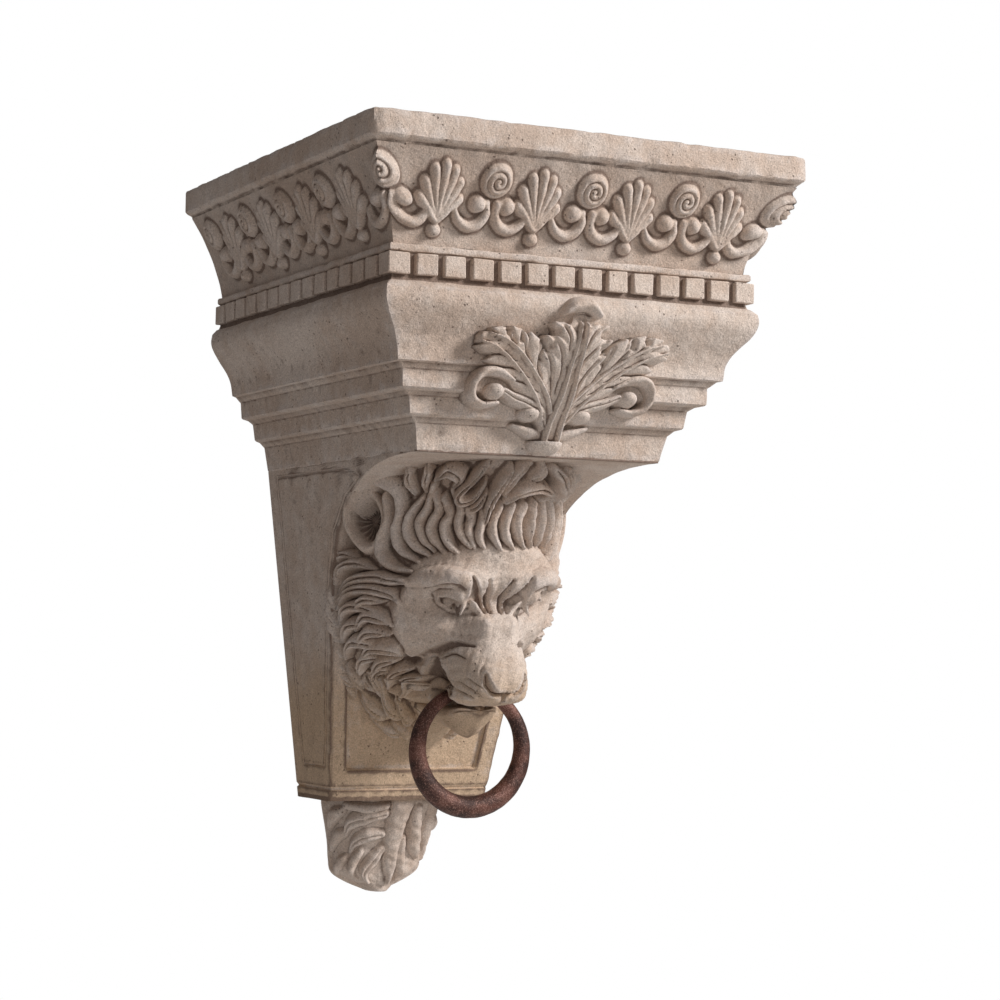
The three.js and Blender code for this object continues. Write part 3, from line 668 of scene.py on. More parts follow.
@dataclass
class Shelf:
    """Moulded shelf: its levels from the underside up, and the places on its faces."""

    neck_width: float = 200.0
    neck_depth: float = 284.5
    front_share: float = 1.1
    steps: tuple = ((0.0, 3.6, 20.0, 4.4), (11.9, 14.0, 13.8, 3.5), (23.7, 25.0, 13.9, 4.7))
    cyma_foot: float = 32.4
    cyma_belly: float = 51.5
    cyma_head: float = 47.0
    cyma_height: float = 53.0
    band_reach: float = 44.0
    band_rise: float = 3.0
    dentil_height: float = 15.0
    dentil_reach: float = 4.6
    dentil_gap: float = 5.4
    dentils_front: int = 14
    dentils_side: int = 15
    fillet_reach: float = 46.5
    fillet_height: float = 6.0
    frieze_foot_reach: float = 42.5
    frieze_head_reach: float = 70.0
    frieze_height: float = 62.7
    slab_reach: float = 75.6
    slab_undercut: float = 3.8
    slab_height: float = 18.6
    chip_depth: float = 2.4
    corner_wear: float = 1.6
    gap_shade_and_dirt: float = 0.62
    edge_step: float = 3.2

    def half_width(self, reach: Array) -> Array:
        """Half the width of a level that stands out by reach."""
        return self.neck_width / 2 + reach

    def depth(self, reach: Array) -> Array:
        """Distance from the wall to the front of a level that stands out by reach."""
        return self.neck_depth + self.front_share * reach

    def frieze_reach(self, share: Array) -> Array:
        """Reach of the frieze, a hollow curve: 0.45 of its height plus 0.55 of its height squared."""
        return mixed(self.frieze_foot_reach, self.frieze_head_reach, 0.45 * share + 0.55 * share**2)

    def dentil_foot(self) -> float:
        """Height of the foot of the dentils."""
        return sum(step[2] + step[3] for step in self.steps) + self.cyma_height + self.band_rise + 1

    def frieze_foot(self) -> float:
        """Height of the foot of the frieze."""
        return self.dentil_foot() + 1 + self.dentil_height + self.fillet_height

    def profile(self) -> Array:
        """Reach and height from the underside up to the top, rounded at its edges as the casting is.

        Returns:
            Rows of (reach, height).
        """
        levels = []
        z = 0.0
        for foot, head, rise, ledge in self.steps:
            soft = 1.3
            levels += [(foot - 0.6, z + 0.3), (foot + 0.4, z + soft), (head, z + rise - soft)]
            levels += [(head + 0.2, z + rise - 0.3), (head + soft, z + rise + 0.6)]
            z += rise + ledge
            levels += [(head + 4.2, z - 0.9)]
        curve = smooth_path([(0, 0), (0.1, 0.2), (0.3, 0.36), (0.62, 0.52), (0.9, 0.68), (1, 0.8),
                             (0.95, 0.92)], 26)
        belly = self.cyma_belly - self.cyma_foot
        levels += [(self.cyma_foot + belly * out, z + self.cyma_height * up) for out, up in curve]
        z += self.cyma_height
        levels += [(self.cyma_head, z - 0.6), (self.cyma_head - 2, z + 0.4)]
        z += self.band_rise
        levels += [(self.band_reach, z), (self.band_reach, z + 8)]
        z = self.frieze_foot() - self.fillet_height
        levels += [(self.band_reach, z - 0.4), (self.fillet_reach - 0.5, z + 0.6)]
        levels += [(self.fillet_reach, z + 1.6)]
        z = self.frieze_foot()
        levels += [(self.fillet_reach, z - 1.8), (self.fillet_reach - 0.8, z - 0.6)]
        share = np.linspace(0, 1, 12)
        levels += list(zip(self.frieze_reach(share) - 0.8, z + self.frieze_height * share))
        z += self.frieze_height
        levels += [(self.frieze_head_reach + 0.4, z + 1.6)]
        levels += [(self.slab_reach - 2.2, z + self.slab_undercut - 1)]
        z += self.slab_undercut
        top = z + self.slab_height
        levels += [(self.slab_reach - 0.9, z), (self.slab_reach, z + 1.1), (self.slab_reach, z + 6)]
        levels += [(self.slab_reach, top - 6), (self.slab_reach, top - 2.4)]
        levels += [(self.slab_reach - 0.7, top - 0.8), (self.slab_reach - 2.6, top)]
        levels += [(self.slab_reach - 14, top), (-60, top), (-99.5, top)]
        return np.array([(-99.5, 0), (-40, 0), (-4, 0), *levels])

    def path_shares(self) -> tuple[Array, Array]:
        """Even steps along the left side, the front and the right side.

        Returns:
            For each step, its share of the half width (-1 left, 1 right) and its share of the depth
            (0 at the wall, 1 at the front).
        """
        side = np.linspace(0, 1, round(self.depth(self.slab_reach) / self.edge_step))
        front = np.linspace(-1, 1, round(2 * self.half_width(self.slab_reach) / self.edge_step))
        across = np.concatenate([np.full(len(side), -1.0), front[1:-1], np.full(len(side), 1.0)])
        forward = np.concatenate([side, np.ones(len(front) - 2), side[::-1]])
        return across, forward

    def body(self) -> Surface:
        """The moulding: the profile carried round three sides, closed above, below and at the wall.

        A place is (share across * half width, -share forward * depth, height), with every place in
        front of the wall moved in or out by up to half a millimetre of smooth unevenness.

        Returns:
            The moulding as one closed skin.
        """
        profile = self.profile()
        fine = [profile[0]]
        for low, high in zip(profile[:-1], profile[1:]):
            count = max(1, int(np.hypot(*(high - low)) / 5.0)) if high[0] > 0 else 1
            fine += [mixed(low, high, (k + 1) / count) for k in range(count)]
        profile = np.array(fine)
        across, forward = self.path_shares()
        reach, z = profile[:, :1], profile[:, 1:]
        grid = np.stack(np.broadcast_arrays(
            across * self.half_width(reach), -forward * self.depth(reach), z), axis=-1)
        sideways = across * (np.abs(across) > 0.999)
        out = np.stack([sideways, -forward * (forward > 0.999), 0 * across], axis=-1)
        rough = 0.45 * uneven(grid, 38.0, 3) + 0.3 * uneven(grid, 13.0, 4)
        slab_foot = self.frieze_foot() + self.frieze_height + self.slab_undercut
        off_edge = np.minimum(np.abs(z - slab_foot), np.abs(z - slab_foot - self.slab_height))
        worn = np.where(reach > self.slab_reach - 3, eased(5.5, 0.5, off_edge), 0.25 * (z > 1))
        rough = rough - self.chip_depth * np.clip(uneven(grid, 15.0, 6) - 0.25, 0, 1) * worn
        to_side = self.half_width(reach) - np.abs(grid[..., 0])
        from_corner = np.hypot(to_side, self.depth(reach) + grid[..., 1])
        diagonal = np.stack([np.sign(grid[..., 0]), 0 * from_corner - 1, 0 * from_corner], axis=-1)
        blunt = self.corner_wear * eased(9.0, 0.0, from_corner) * (reach > self.slab_reach - 4)
        grid = grid + (out * (forward > 0)[:, None])[None] * rough[..., None] - blunt[..., None] * diagonal
        rim = (profile[:, 1] > 60) & (profile[:, 0] > 0)
        grid[..., 2] += np.where(rim[:, None], 0.35 * uneven(grid, 24.0, 5), 0)
        back = np.stack([grid[..., 0], 0 * grid[..., 0], grid[..., 2]], axis=-1)[:, [0, -1]]
        wall = mixed(back[:, :1], back[:, 1:], np.linspace(1, 0, 6)[None, :, None])[:, 1:-1]
        made = Surface.of_grid(np.concatenate([grid, wall], axis=1), None, True, 3, 1.0)
        # painted shade and dirt: the gaps behind the dentils are marked hollower, so they take the dark
        # hollow colour
        gaps = (z > self.dentil_foot() - 3) & (z < self.frieze_foot() - self.fillet_height)
        gaps = gaps & (np.abs(reach - self.band_reach) < 0.6)
        hollow = made.hollow.reshape(len(profile), -1) + self.gap_shade_and_dirt * gaps
        made.hollow = np.clip(clean_wall(hollow), -1, 1).reshape(-1)
        return made

    def dentils(self) -> Surface:
        """The dentils: a block at each front corner and an even row along the front and the sides.

        Every block has six faces, and each corner is moved by up to 0.4 mm of seeded chance.

        Returns:
            All the blocks as one surface.
        """
        face = self.band_reach + self.dentil_reach
        wide, deep = self.half_width(face), self.depth(face)
        low = self.dentil_foot()
        bite = 4 + self.dentil_reach
        pitch = (2 * wide + self.dentil_gap) / self.dentils_front
        side_pitch = (deep + self.dentil_gap) / self.dentils_side
        spans = [(-wide + i * pitch, -wide + (i + 1) * pitch - self.dentil_gap, -deep, -deep + bite)
                 for i in range(1, self.dentils_front - 1)]
        for hand in (-1, 1):
            inner = hand * (wide - pitch + self.dentil_gap)
            spans.append((*sorted((inner, hand * wide)), -deep, -deep + side_pitch - self.dentil_gap))
            for i in range(1, self.dentils_side):
                y = -deep + i * side_pitch
                sides = sorted((hand * (wide - bite), hand * wide))
                spans.append((*sides, y, y + side_pitch - self.dentil_gap))
        head = low + self.dentil_height
        boxes = np.array([(x0, x1, y0, min(y1, -0.2), low, head) for x0, x1, y0, y1 in spans])
        corner = np.array([(i, j, k) for i in (0, 1) for j in (2, 3) for k in (4, 5)])
        points = boxes[:, corner]
        points += np.random.default_rng(8).uniform(-0.4, 0.4, points.shape)
        points[..., 1] = np.minimum(points[..., 1], 0)
        faces = ((0, 1, 3, 2), (4, 6, 7, 5), (0, 4, 5, 1), (2, 3, 7, 6), (0, 2, 6, 4), (1, 5, 7, 3))
        quads = (np.array(faces)[None] + 8 * np.arange(len(boxes))[:, None, None]).reshape(-1, 4)
        return Surface(points.reshape(-1, 3), quads, np.zeros(8 * len(boxes)))

    def dress(self, finish: bpy.types.Material) -> None:
        """Makes the moulding and the dentils and gives them their finish.

        Args:
            finish: The material.
        """
        place_piece(self.body().piece("shelf_moulding", 34.0), finish, "bracket")
        blocks = self.dentils().piece("dentil_course", 30.0)
        bevel = blocks.modifiers.new("worn edges", "BEVEL")
        bevel.width = 0.9 * MM
        bevel.segments = 2
        place_piece(blocks, finish, "bracket")


@dataclass
class Frieze:
    """Carving on the frieze: palmettes, coiled rosettes and pairs of scrolls between them."""

    shelf: Shelf
    ornament_height: float = 46.0
    relief: float = 7.2
    foot: float = 9.0
    side_pitch: float = 75.0
    palmettes_front: int = 4
    palmettes_side: int = 4
    front_step: float = 0.75
    side_step: float = 0.95
    side_start: float = 28.5
    side_first: float = 66.0
    rosette_rise: float = 37.5
    rosette_shift: float = 3.0
    ground_shade_and_dirt: float = 0.27

    def palmette(self, s: Array, up: Array) -> Array:
        """A fan of seven fingers on two short bars, with a bead below.

        Args:
            s: Distance along the face from the middle of the fan.
            up: Height above the foot of the frieze.

        Returns:
            Its relief: the highest of the fingers, bars and bead.
        """
        h = self.ornament_height
        base = self.foot + 0.24 * h
        strokes = []
        for across, above in ((0, 33.0), (7.6, 30.0), (13.2, 22.5), (15.2, 12.5)):
            for hand in (-1, 1):
                path = [(0.04 * across * hand, base - 1), (0.5 * across * hand, base + 0.45 * above),
                        (across * hand, base + above)]
                crest = self.relief * (1 - 0.008 * across)
                strokes.append(Stroke(path, (0.9, 2.0, 3.3, 4.5, 3.9), crest, 1, 0.62, (0.5, 0.8)))
        for hand in (-1, 1):
            bar = [(0.8 * hand, base - 3.0), (8.0 * hand, base + 4.4)]
            strokes.append(Stroke(bar, (2.4, 2.4, 2.2), 0.9 * self.relief, 1, 0.35, (0.9, 0.8)))
        fan = highest(s, up, strokes)
        bead = button(s, up, 0, base - 0.205 * h, 0.12 * h, 0.105 * h, self.relief)
        return np.maximum(fan, bead)

    def rosette(self, s: Array, up: Array) -> Array:
        """A boss with a coil cut in it: a dome less a groove where radius less turn is a whole number.

        Args:
            s: Distance along the face from its middle.
            up: Height above the frieze foot.

        Returns:
            Its relief.
        """
        across = s / (0.262 * self.ornament_height)
        above = (up - self.foot - self.rosette_rise) / (0.25 * self.ornament_height)
        radius = np.hypot(across, above)
        coil = np.cos(2 * math.pi * (2.75 * radius - np.arctan2(above, across) / (2 * math.pi) + 0.12))
        dome = np.sqrt(np.clip(1 - radius**5, 0, 1)) * mixed(1.1, 0.85, np.clip(radius, 0, 1))
        return self.relief * dome * (1 - 0.42 * np.clip(-coil, 0, 1) ** 2.2 * (radius < 0.9))

    def scrolls(self, s: Array, up: Array, hands: Sequence[int] = (-1, 1)) -> Array:
        """A pair of ropes that dip from the fans on either side and rise to a ball under the rosette.

        Args:
            s: Distance along the face from the rosette.
            up: Height above the frieze foot.
            hands: Which of the two is made: -1 for the left one, 1 for the right one.

        Returns:
            Their relief.
        """
        h = self.ornament_height
        height = np.zeros_like(s)
        turns = ((0.62, 0.38), (0.52, 0.22), (0.35, 0.13), (0.18, 0.18), (0.08, 0.33), (0.10, 0.47))
        for hand in hands:
            route = [(x * h * hand, self.foot + z * h) for x, z in turns]
            rope = Stroke(route, (1.9, 3.3, 3.9, 4.0, 3.8, 3.2), 0.85 * self.relief, 1, 0.5, (0.5, 0.8))
            ball_at = (0.25 * h * hand, self.foot + 0.47 * h)
            ball = button(s, up, *ball_at, 0.14 * h, 0.13 * h, 1.15 * self.relief)
            ends = [(0.09 * h * hand, self.foot + 0.49 * h), (0.24 * h * hand, self.foot + 0.51 * h)]
            neck = Stroke(ends, (3.0, 3.0), 0.7 * self.relief, 1, 0.5, (0.9, 0.9))
            height = tallest(height, rope.over(s, up), ball, neck.over(s, up))
        return height

    def relief_on(self, face: Face, s: Array, up: Array) -> Array:
        """Height of all the carving on one face.

        Args:
            face: Which face.
            s: Distance along it: from the middle on the front, from the wall on a side.
            up: Height above the foot of the frieze.

        Returns:
            The relief, the same on both faces along a front corner.
        """
        middle = self.shelf.frieze_reach(0.5)
        wide = self.shelf.half_width(middle)
        reach = self.shelf.frieze_reach(np.clip(up / self.shelf.frieze_height, 0, 1))
        height = np.zeros_like(s)
        if face is Face.FRONT:
            pitch = 2 * wide / self.palmettes_front
            fans = [(i - 0.5 * (self.palmettes_front - 1)) * pitch for i in range(self.palmettes_front)]
            between = [(i - 0.5 * self.palmettes_front) * pitch + self.rosette_shift
                       for i in range(1, self.palmettes_front)]
            ends = [(hand * self.shelf.half_width(reach), -hand) for hand in (-1, 1)]
        else:
            fans = [self.side_first + self.side_pitch * i for i in range(self.palmettes_side)]
            between = [self.side_first + self.side_pitch * (i - 0.5) for i in range(1, self.palmettes_side)]
            ends = [(self.shelf.depth(reach), -1), (self.side_start, 1)]
        for at, hand in ends:
            height = tallest(height, self.rosette(s - at, up), self.scrolls(s - at, up, (hand,)))
        for at in fans:
            height = np.maximum(height, self.palmette(s - at, up))
        for at in between:
            height = tallest(height, self.rosette(s - at, up), self.scrolls(s - at, up))
        return height

    def surface(self, face: Face) -> Surface:
        """One face of the frieze: its hollow curve moved out by the carving, square to the curve.

        Near a front corner the place also moves along the face by the same amount, so that the
        front and the side meet in one edge. The outer rows and columns are sunk in the moulding.

        Args:
            face: Which face.

        Returns:
            The surface.
        """
        step = self.front_step if face is Face.FRONT else self.side_step
        rows = round(self.shelf.frieze_height / step)
        share = np.linspace(0.0, 1.0, rows)[:, None]
        up = share * self.shelf.frieze_height
        reach = self.shelf.frieze_reach(share)
        lean = (self.shelf.frieze_reach(share + 0.01) - self.shelf.frieze_reach(share - 0.01)) / (
            0.02 * self.shelf.frieze_height)
        wide, deep = self.shelf.half_width(reach), self.shelf.depth(reach)
        length = self.shelf.half_width(self.shelf.frieze_head_reach) * 2
        if face is not Face.FRONT:
            length = self.shelf.depth(self.shelf.frieze_head_reach)
        run = np.linspace(-1.0 if face is Face.FRONT else 0.0, 1.0, round(length / step))[None, :]
        s = run * (wide if face is Face.FRONT else deep)
        height = self.relief_on(face, s, up + 0 * s)
        fade = eased(0, 2.0, up) * eased(0, 2.5, self.shelf.frieze_height - up)
        height = blurred(height, 1) * fade
        at = np.stack([s, up + 0 * s, 0 * s], axis=-1)
        height = height + 0.35 * uneven(at, 17.0, 11) + 0.18 * uneven(at, 5.0, 12) * (height > 0.5)
        stand = height / np.hypot(1, lean)
        z = self.shelf.frieze_foot() + up - height * lean / np.hypot(1, lean)
        edge_distance = (wide if face is Face.FRONT else deep) - np.abs(s)
        slide = stand * eased(16.0, 0.0, edge_distance) * np.sign(run)
        if face is Face.FRONT:
            grid = np.stack([s + slide, -(deep + stand), z], axis=-1)
            made = Surface.of_grid(grid, np.array([0.0, -1.0, 0.0]), rounds=8, depth=0.85)
        else:
            hand = -1 if face is Face.LEFT else 1
            grid = np.stack([hand * (wide + stand), -(s + slide), z], axis=-1)
            made = Surface.of_grid(grid, np.array([float(hand), 0.0, 0.0]), rounds=6, depth=0.85)
        # painted shade and dirt: the bare ground between the carvings is marked hollower, so it goes darker
        made.hollow = np.clip(made.hollow + self.ground_shade_and_dirt * (height < 0.8).reshape(-1), -1, 1)
        return made

    def dress(self, finish: bpy.types.Material) -> None:
        """Makes the three faces and gives them their finish."""
        for face in Face:
            place_piece(self.surface(face).piece(f"frieze_{face.value}", 80.0), finish, "bracket")


@dataclass
class LeafSpray:
    """Spray of three leaves with curled leaves and buds, on the steps and the cyma of the front."""

    shelf: Shelf
    height: float = 104.0
    relief: float = 8.5
    seat: tuple = ((0, -1), (24, 11.5), (42, 23.5), (60, 32.5), (78, 46), (95, 51), (113, 48.5), (125, 47))
    step: float = 0.62

    def leaf(self, rib: Sequence, tips: Sequence, widths: Sequence, height: float) -> list[Stroke]:
        """Strokes of one leaf: a flat blade along its midrib and a broad lobe to each tip.

        Args:
            rib: Points along the midrib, in shares of the spray's height.
            tips: For each lobe, its share along the rib, its bend, its tip and its half width.
            widths: Half widths of the blade along the rib.
            height: Height of the lobes.

        Returns:
            The strokes, blade first.
        """
        curve = smooth_path(rib, 40)
        strokes = [Stroke(rib, widths, 0.8 * height, 1, 0.3)]
        for start, bend, tip, half in tips:
            spread = (0.5 * half, half, 0.95 * half, 0.75 * half, 0.22 * half)
            strokes.append(Stroke([curve[int(start * 39)], bend, tip], spread, height, 1, 0.4, (0.7, 0.7)))
        return strokes

    def side_leaf(self, x: Array, z: Array) -> Array:
        """Height of the right side leaf, its stalk, its hooked bud and the small leaf at its foot.

        Args:
            x: Shares across, from the middle.
            z: Shares up from the foot.

        Returns:
            The height in millimetres.
        """
        r = self.relief
        rib = [(0.055, 0.16), (0.075, 0.27), (0.137, 0.367), (0.24, 0.475), (0.34, 0.567), (0.457, 0.65),
               (0.58, 0.715), (0.70, 0.75)]
        tips = ((0.36, (0.20, 0.56), (0.235, 0.69), 0.07), (0.5, (0.31, 0.67), (0.375, 0.79), 0.075),
                (0.68, (0.44, 0.74), (0.515, 0.82), 0.07), (0.84, (0.56, 0.77), (0.655, 0.805), 0.055),
                (0.30, (0.28, 0.44), (0.42, 0.485), 0.045), (0.44, (0.41, 0.53), (0.54, 0.545), 0.05),
                (0.60, (0.53, 0.61), (0.645, 0.605), 0.055), (0.80, (0.63, 0.69), (0.725, 0.69), 0.05))
        height = highest(x, z, self.leaf(rib, tips, (0.03, 0.06, 0.10, 0.13, 0.125, 0.095, 0.04), 0.72 * r))
        grooves = (
            ([(0.19, 0.42), (0.32, 0.475), (0.47, 0.50)], 0.012),
            ([(0.29, 0.51), (0.42, 0.565), (0.60, 0.57)], 0.012),
            ([(0.42, 0.61), (0.54, 0.645), (0.70, 0.645)], 0.011),
            ([(0.17, 0.46), (0.25, 0.60), (0.29, 0.74)], 0.012),
            ([(0.28, 0.57), (0.39, 0.70), (0.44, 0.80)], 0.012),
            ([(0.40, 0.65), (0.52, 0.75), (0.58, 0.82)], 0.011),
        )
        for path, half in grooves:
            groove = Stroke(path, (0.4 * half, 0.8 * half, 1.2 * half), 0.24 * r, 1, 0.9, (0.1, 1.0))
            height = height - groove.over(x, z)
        eyelets = ((0.24, 0.66, 0.022, 0.04), (0.435, 0.765, 0.02, 0.038), (0.545, 0.795, 0.02, 0.026))
        for at, up, wide, tall in eyelets:
            height = height - 0.6 * r * hill(x, z, at, up, wide, tall, 3)
        height = np.maximum(height, 0)
        stalk = [(0.06, 0.2), (0.13, 0.295), (0.25, 0.345), (0.36, 0.375), (0.45, 0.415)]
        hook = [(0.40, 0.485), (0.52, 0.535), (0.635, 0.53), (0.70, 0.45), (0.68, 0.36), (0.59, 0.32),
                (0.48, 0.335)]
        strokes = [
            Stroke(stalk, (0.03, 0.05, 0.045, 0.04, 0.03), 0.85 * r, 2, 0.5, (0.6, 0.8)),
            Stroke(hook, (0.016, 0.034, 0.036, 0.034, 0.034, 0.03, 0.02), 1.15 * r, 1, 0.5, (0.5, 0.6)),
            Stroke([(0.06, 0.13), (0.15, 0.155), (0.29, 0.20)], (0.04, 0.04, 0.015), 0.6 * r, 1, 0.6),
        ]
        for off in (-0.026, 0.026):
            edge = [(a + off, b - off) for a, b in rib[1:]]
            strokes.append(Stroke(edge, (0.018, 0.019, 0.016, 0.009), 0.98 * r, 1, 0.6, (0.9, 0.4)))
        bud = button(x, z, 0.525, 0.405, 0.075, 0.062, 1.35 * r)
        low_bud = button(x, z, 0.2, 0.275, 0.085, 0.052, 1.2 * r)
        return tallest(height, highest(x, z, strokes), bud, low_bud)

    def relief_at(self, x: Array, z: Array) -> Array:
        """Height of the spray over its seat, at shares x across and z up of its height.

        Args:
            x: Shares across, from the middle.
            z: Shares up from the foot.

        Returns:
            The height in millimetres.
        """
        r = self.relief
        rib = [(0.012, 0.08), (0.014, 0.22), (0.024, 0.36), (0.028, 0.50), (0.022, 0.64), (0.012, 0.77),
               (0.02, 0.90)]
        height = np.maximum(self.side_leaf(x, z), self.side_leaf(-x, z))
        tips = []
        for hand in (-1, 1):
            tips += [(0.50, (0.13 * hand, 0.60), (0.235 * hand, 0.675), 0.075),
                     (0.62, (0.13 * hand, 0.71), (0.245 * hand, 0.775), 0.078),
                     (0.74, (0.11 * hand, 0.81), (0.205 * hand, 0.87), 0.07)]
        blade = highest(x, z, self.leaf(rib, tips, (0.07, 0.09, 0.13, 0.18, 0.195, 0.15, 0.08), 0.9 * r))
        for hand in (-1, 1):
            for path in ([(0.21, 0.78), (0.13, 0.71), (0.07, 0.60), (0.06, 0.42)],
                         [(0.235, 0.70), (0.16, 0.61), (0.105, 0.48), (0.09, 0.30)],
                         [(0.16, 0.88), (0.09, 0.80), (0.06, 0.70)]):
                own = [(hand * a, b) for a, b in path]
                groove = Stroke(own, (0.022, 0.016, 0.012, 0.008), 0.3 * r, 1, 0.9, (1.0, 0.2))
                blade = blade - groove.over(x, z)
            for at, up in ((0.205, 0.725), (0.185, 0.82), (0.105, 0.90)):
                blade = blade - 0.6 * r * hill(x, z, hand * at, up, 0.028, 0.024, 3)
        height = np.maximum(height, blade)
        for off in (-0.038, 0.038):
            edge = [(a + off * (1.35 - 0.75 * k / 6), b) for k, (a, b) in enumerate(rib)]
            ridge = Stroke(edge, (0.024, 0.022, 0.019, 0.013), 1.25 * r, 1, 0.6, (0.9, 0.6))
            height = np.maximum(height, ridge.over(x, z))
        hollow = hill(x, z, -0.005, 0.935, 0.105, 0.05, 4)
        height = height * (1 - 0.88 * hollow)
        hood = Stroke([(-0.135, 0.955), (-0.06, 1.0), (0.04, 1.01), (0.125, 0.945)],
                      (0.03, 0.055, 0.055, 0.03), 1.75 * r, 1, 0.5, (0.5, 0.5))
        height = np.maximum(height, hood.over(x, z))
        bowl = button(x, z, -0.01, 0.085, 0.135, 0.085, 1.5 * r) * (z < 0.1)
        return np.maximum(height, bowl)

    def surface(self) -> Surface:
        """The spray as a relief over a smooth seat, its bare ground sunk in the moulding.

        Returns:
            The spray.
        """
        h = self.height
        x = np.arange(-0.80 * h, 0.80 * h, self.step)[None, :]
        z = np.arange(0.4, 1.09 * h, self.step)[:, None]
        x, z = np.broadcast_arrays(x, z)
        height = self.relief_at(x / h, z / h)
        levels = np.array(self.seat)
        ground = self.shelf.depth(np.interp(z, levels[:, 0], levels[:, 1]))
        ground = blurred(ground, 12)
        bare = height < 0.15
        at = np.stack([x, z, 0 * x], axis=-1)
        height = height + 0.2 * uneven(at, 6.0, 21)
        depth = np.where(bare, ground - 7.0, ground + height)
        grid = np.stack([x, -depth, z], axis=-1)
        wide_bare = blurred(bare.astype(float), 1) > 0.999
        return Surface.of_grid(grid, np.array([0.0, -1.0, 0.0]), rounds=7, depth=0.8, drop=wide_bare)

    def dress(self, finish: bpy.types.Material) -> None:
        """Makes the spray and gives it its finish."""
        place_piece(self.surface().piece("leaf_spray", 80.0), finish, "bracket")


# The pier and what it carries


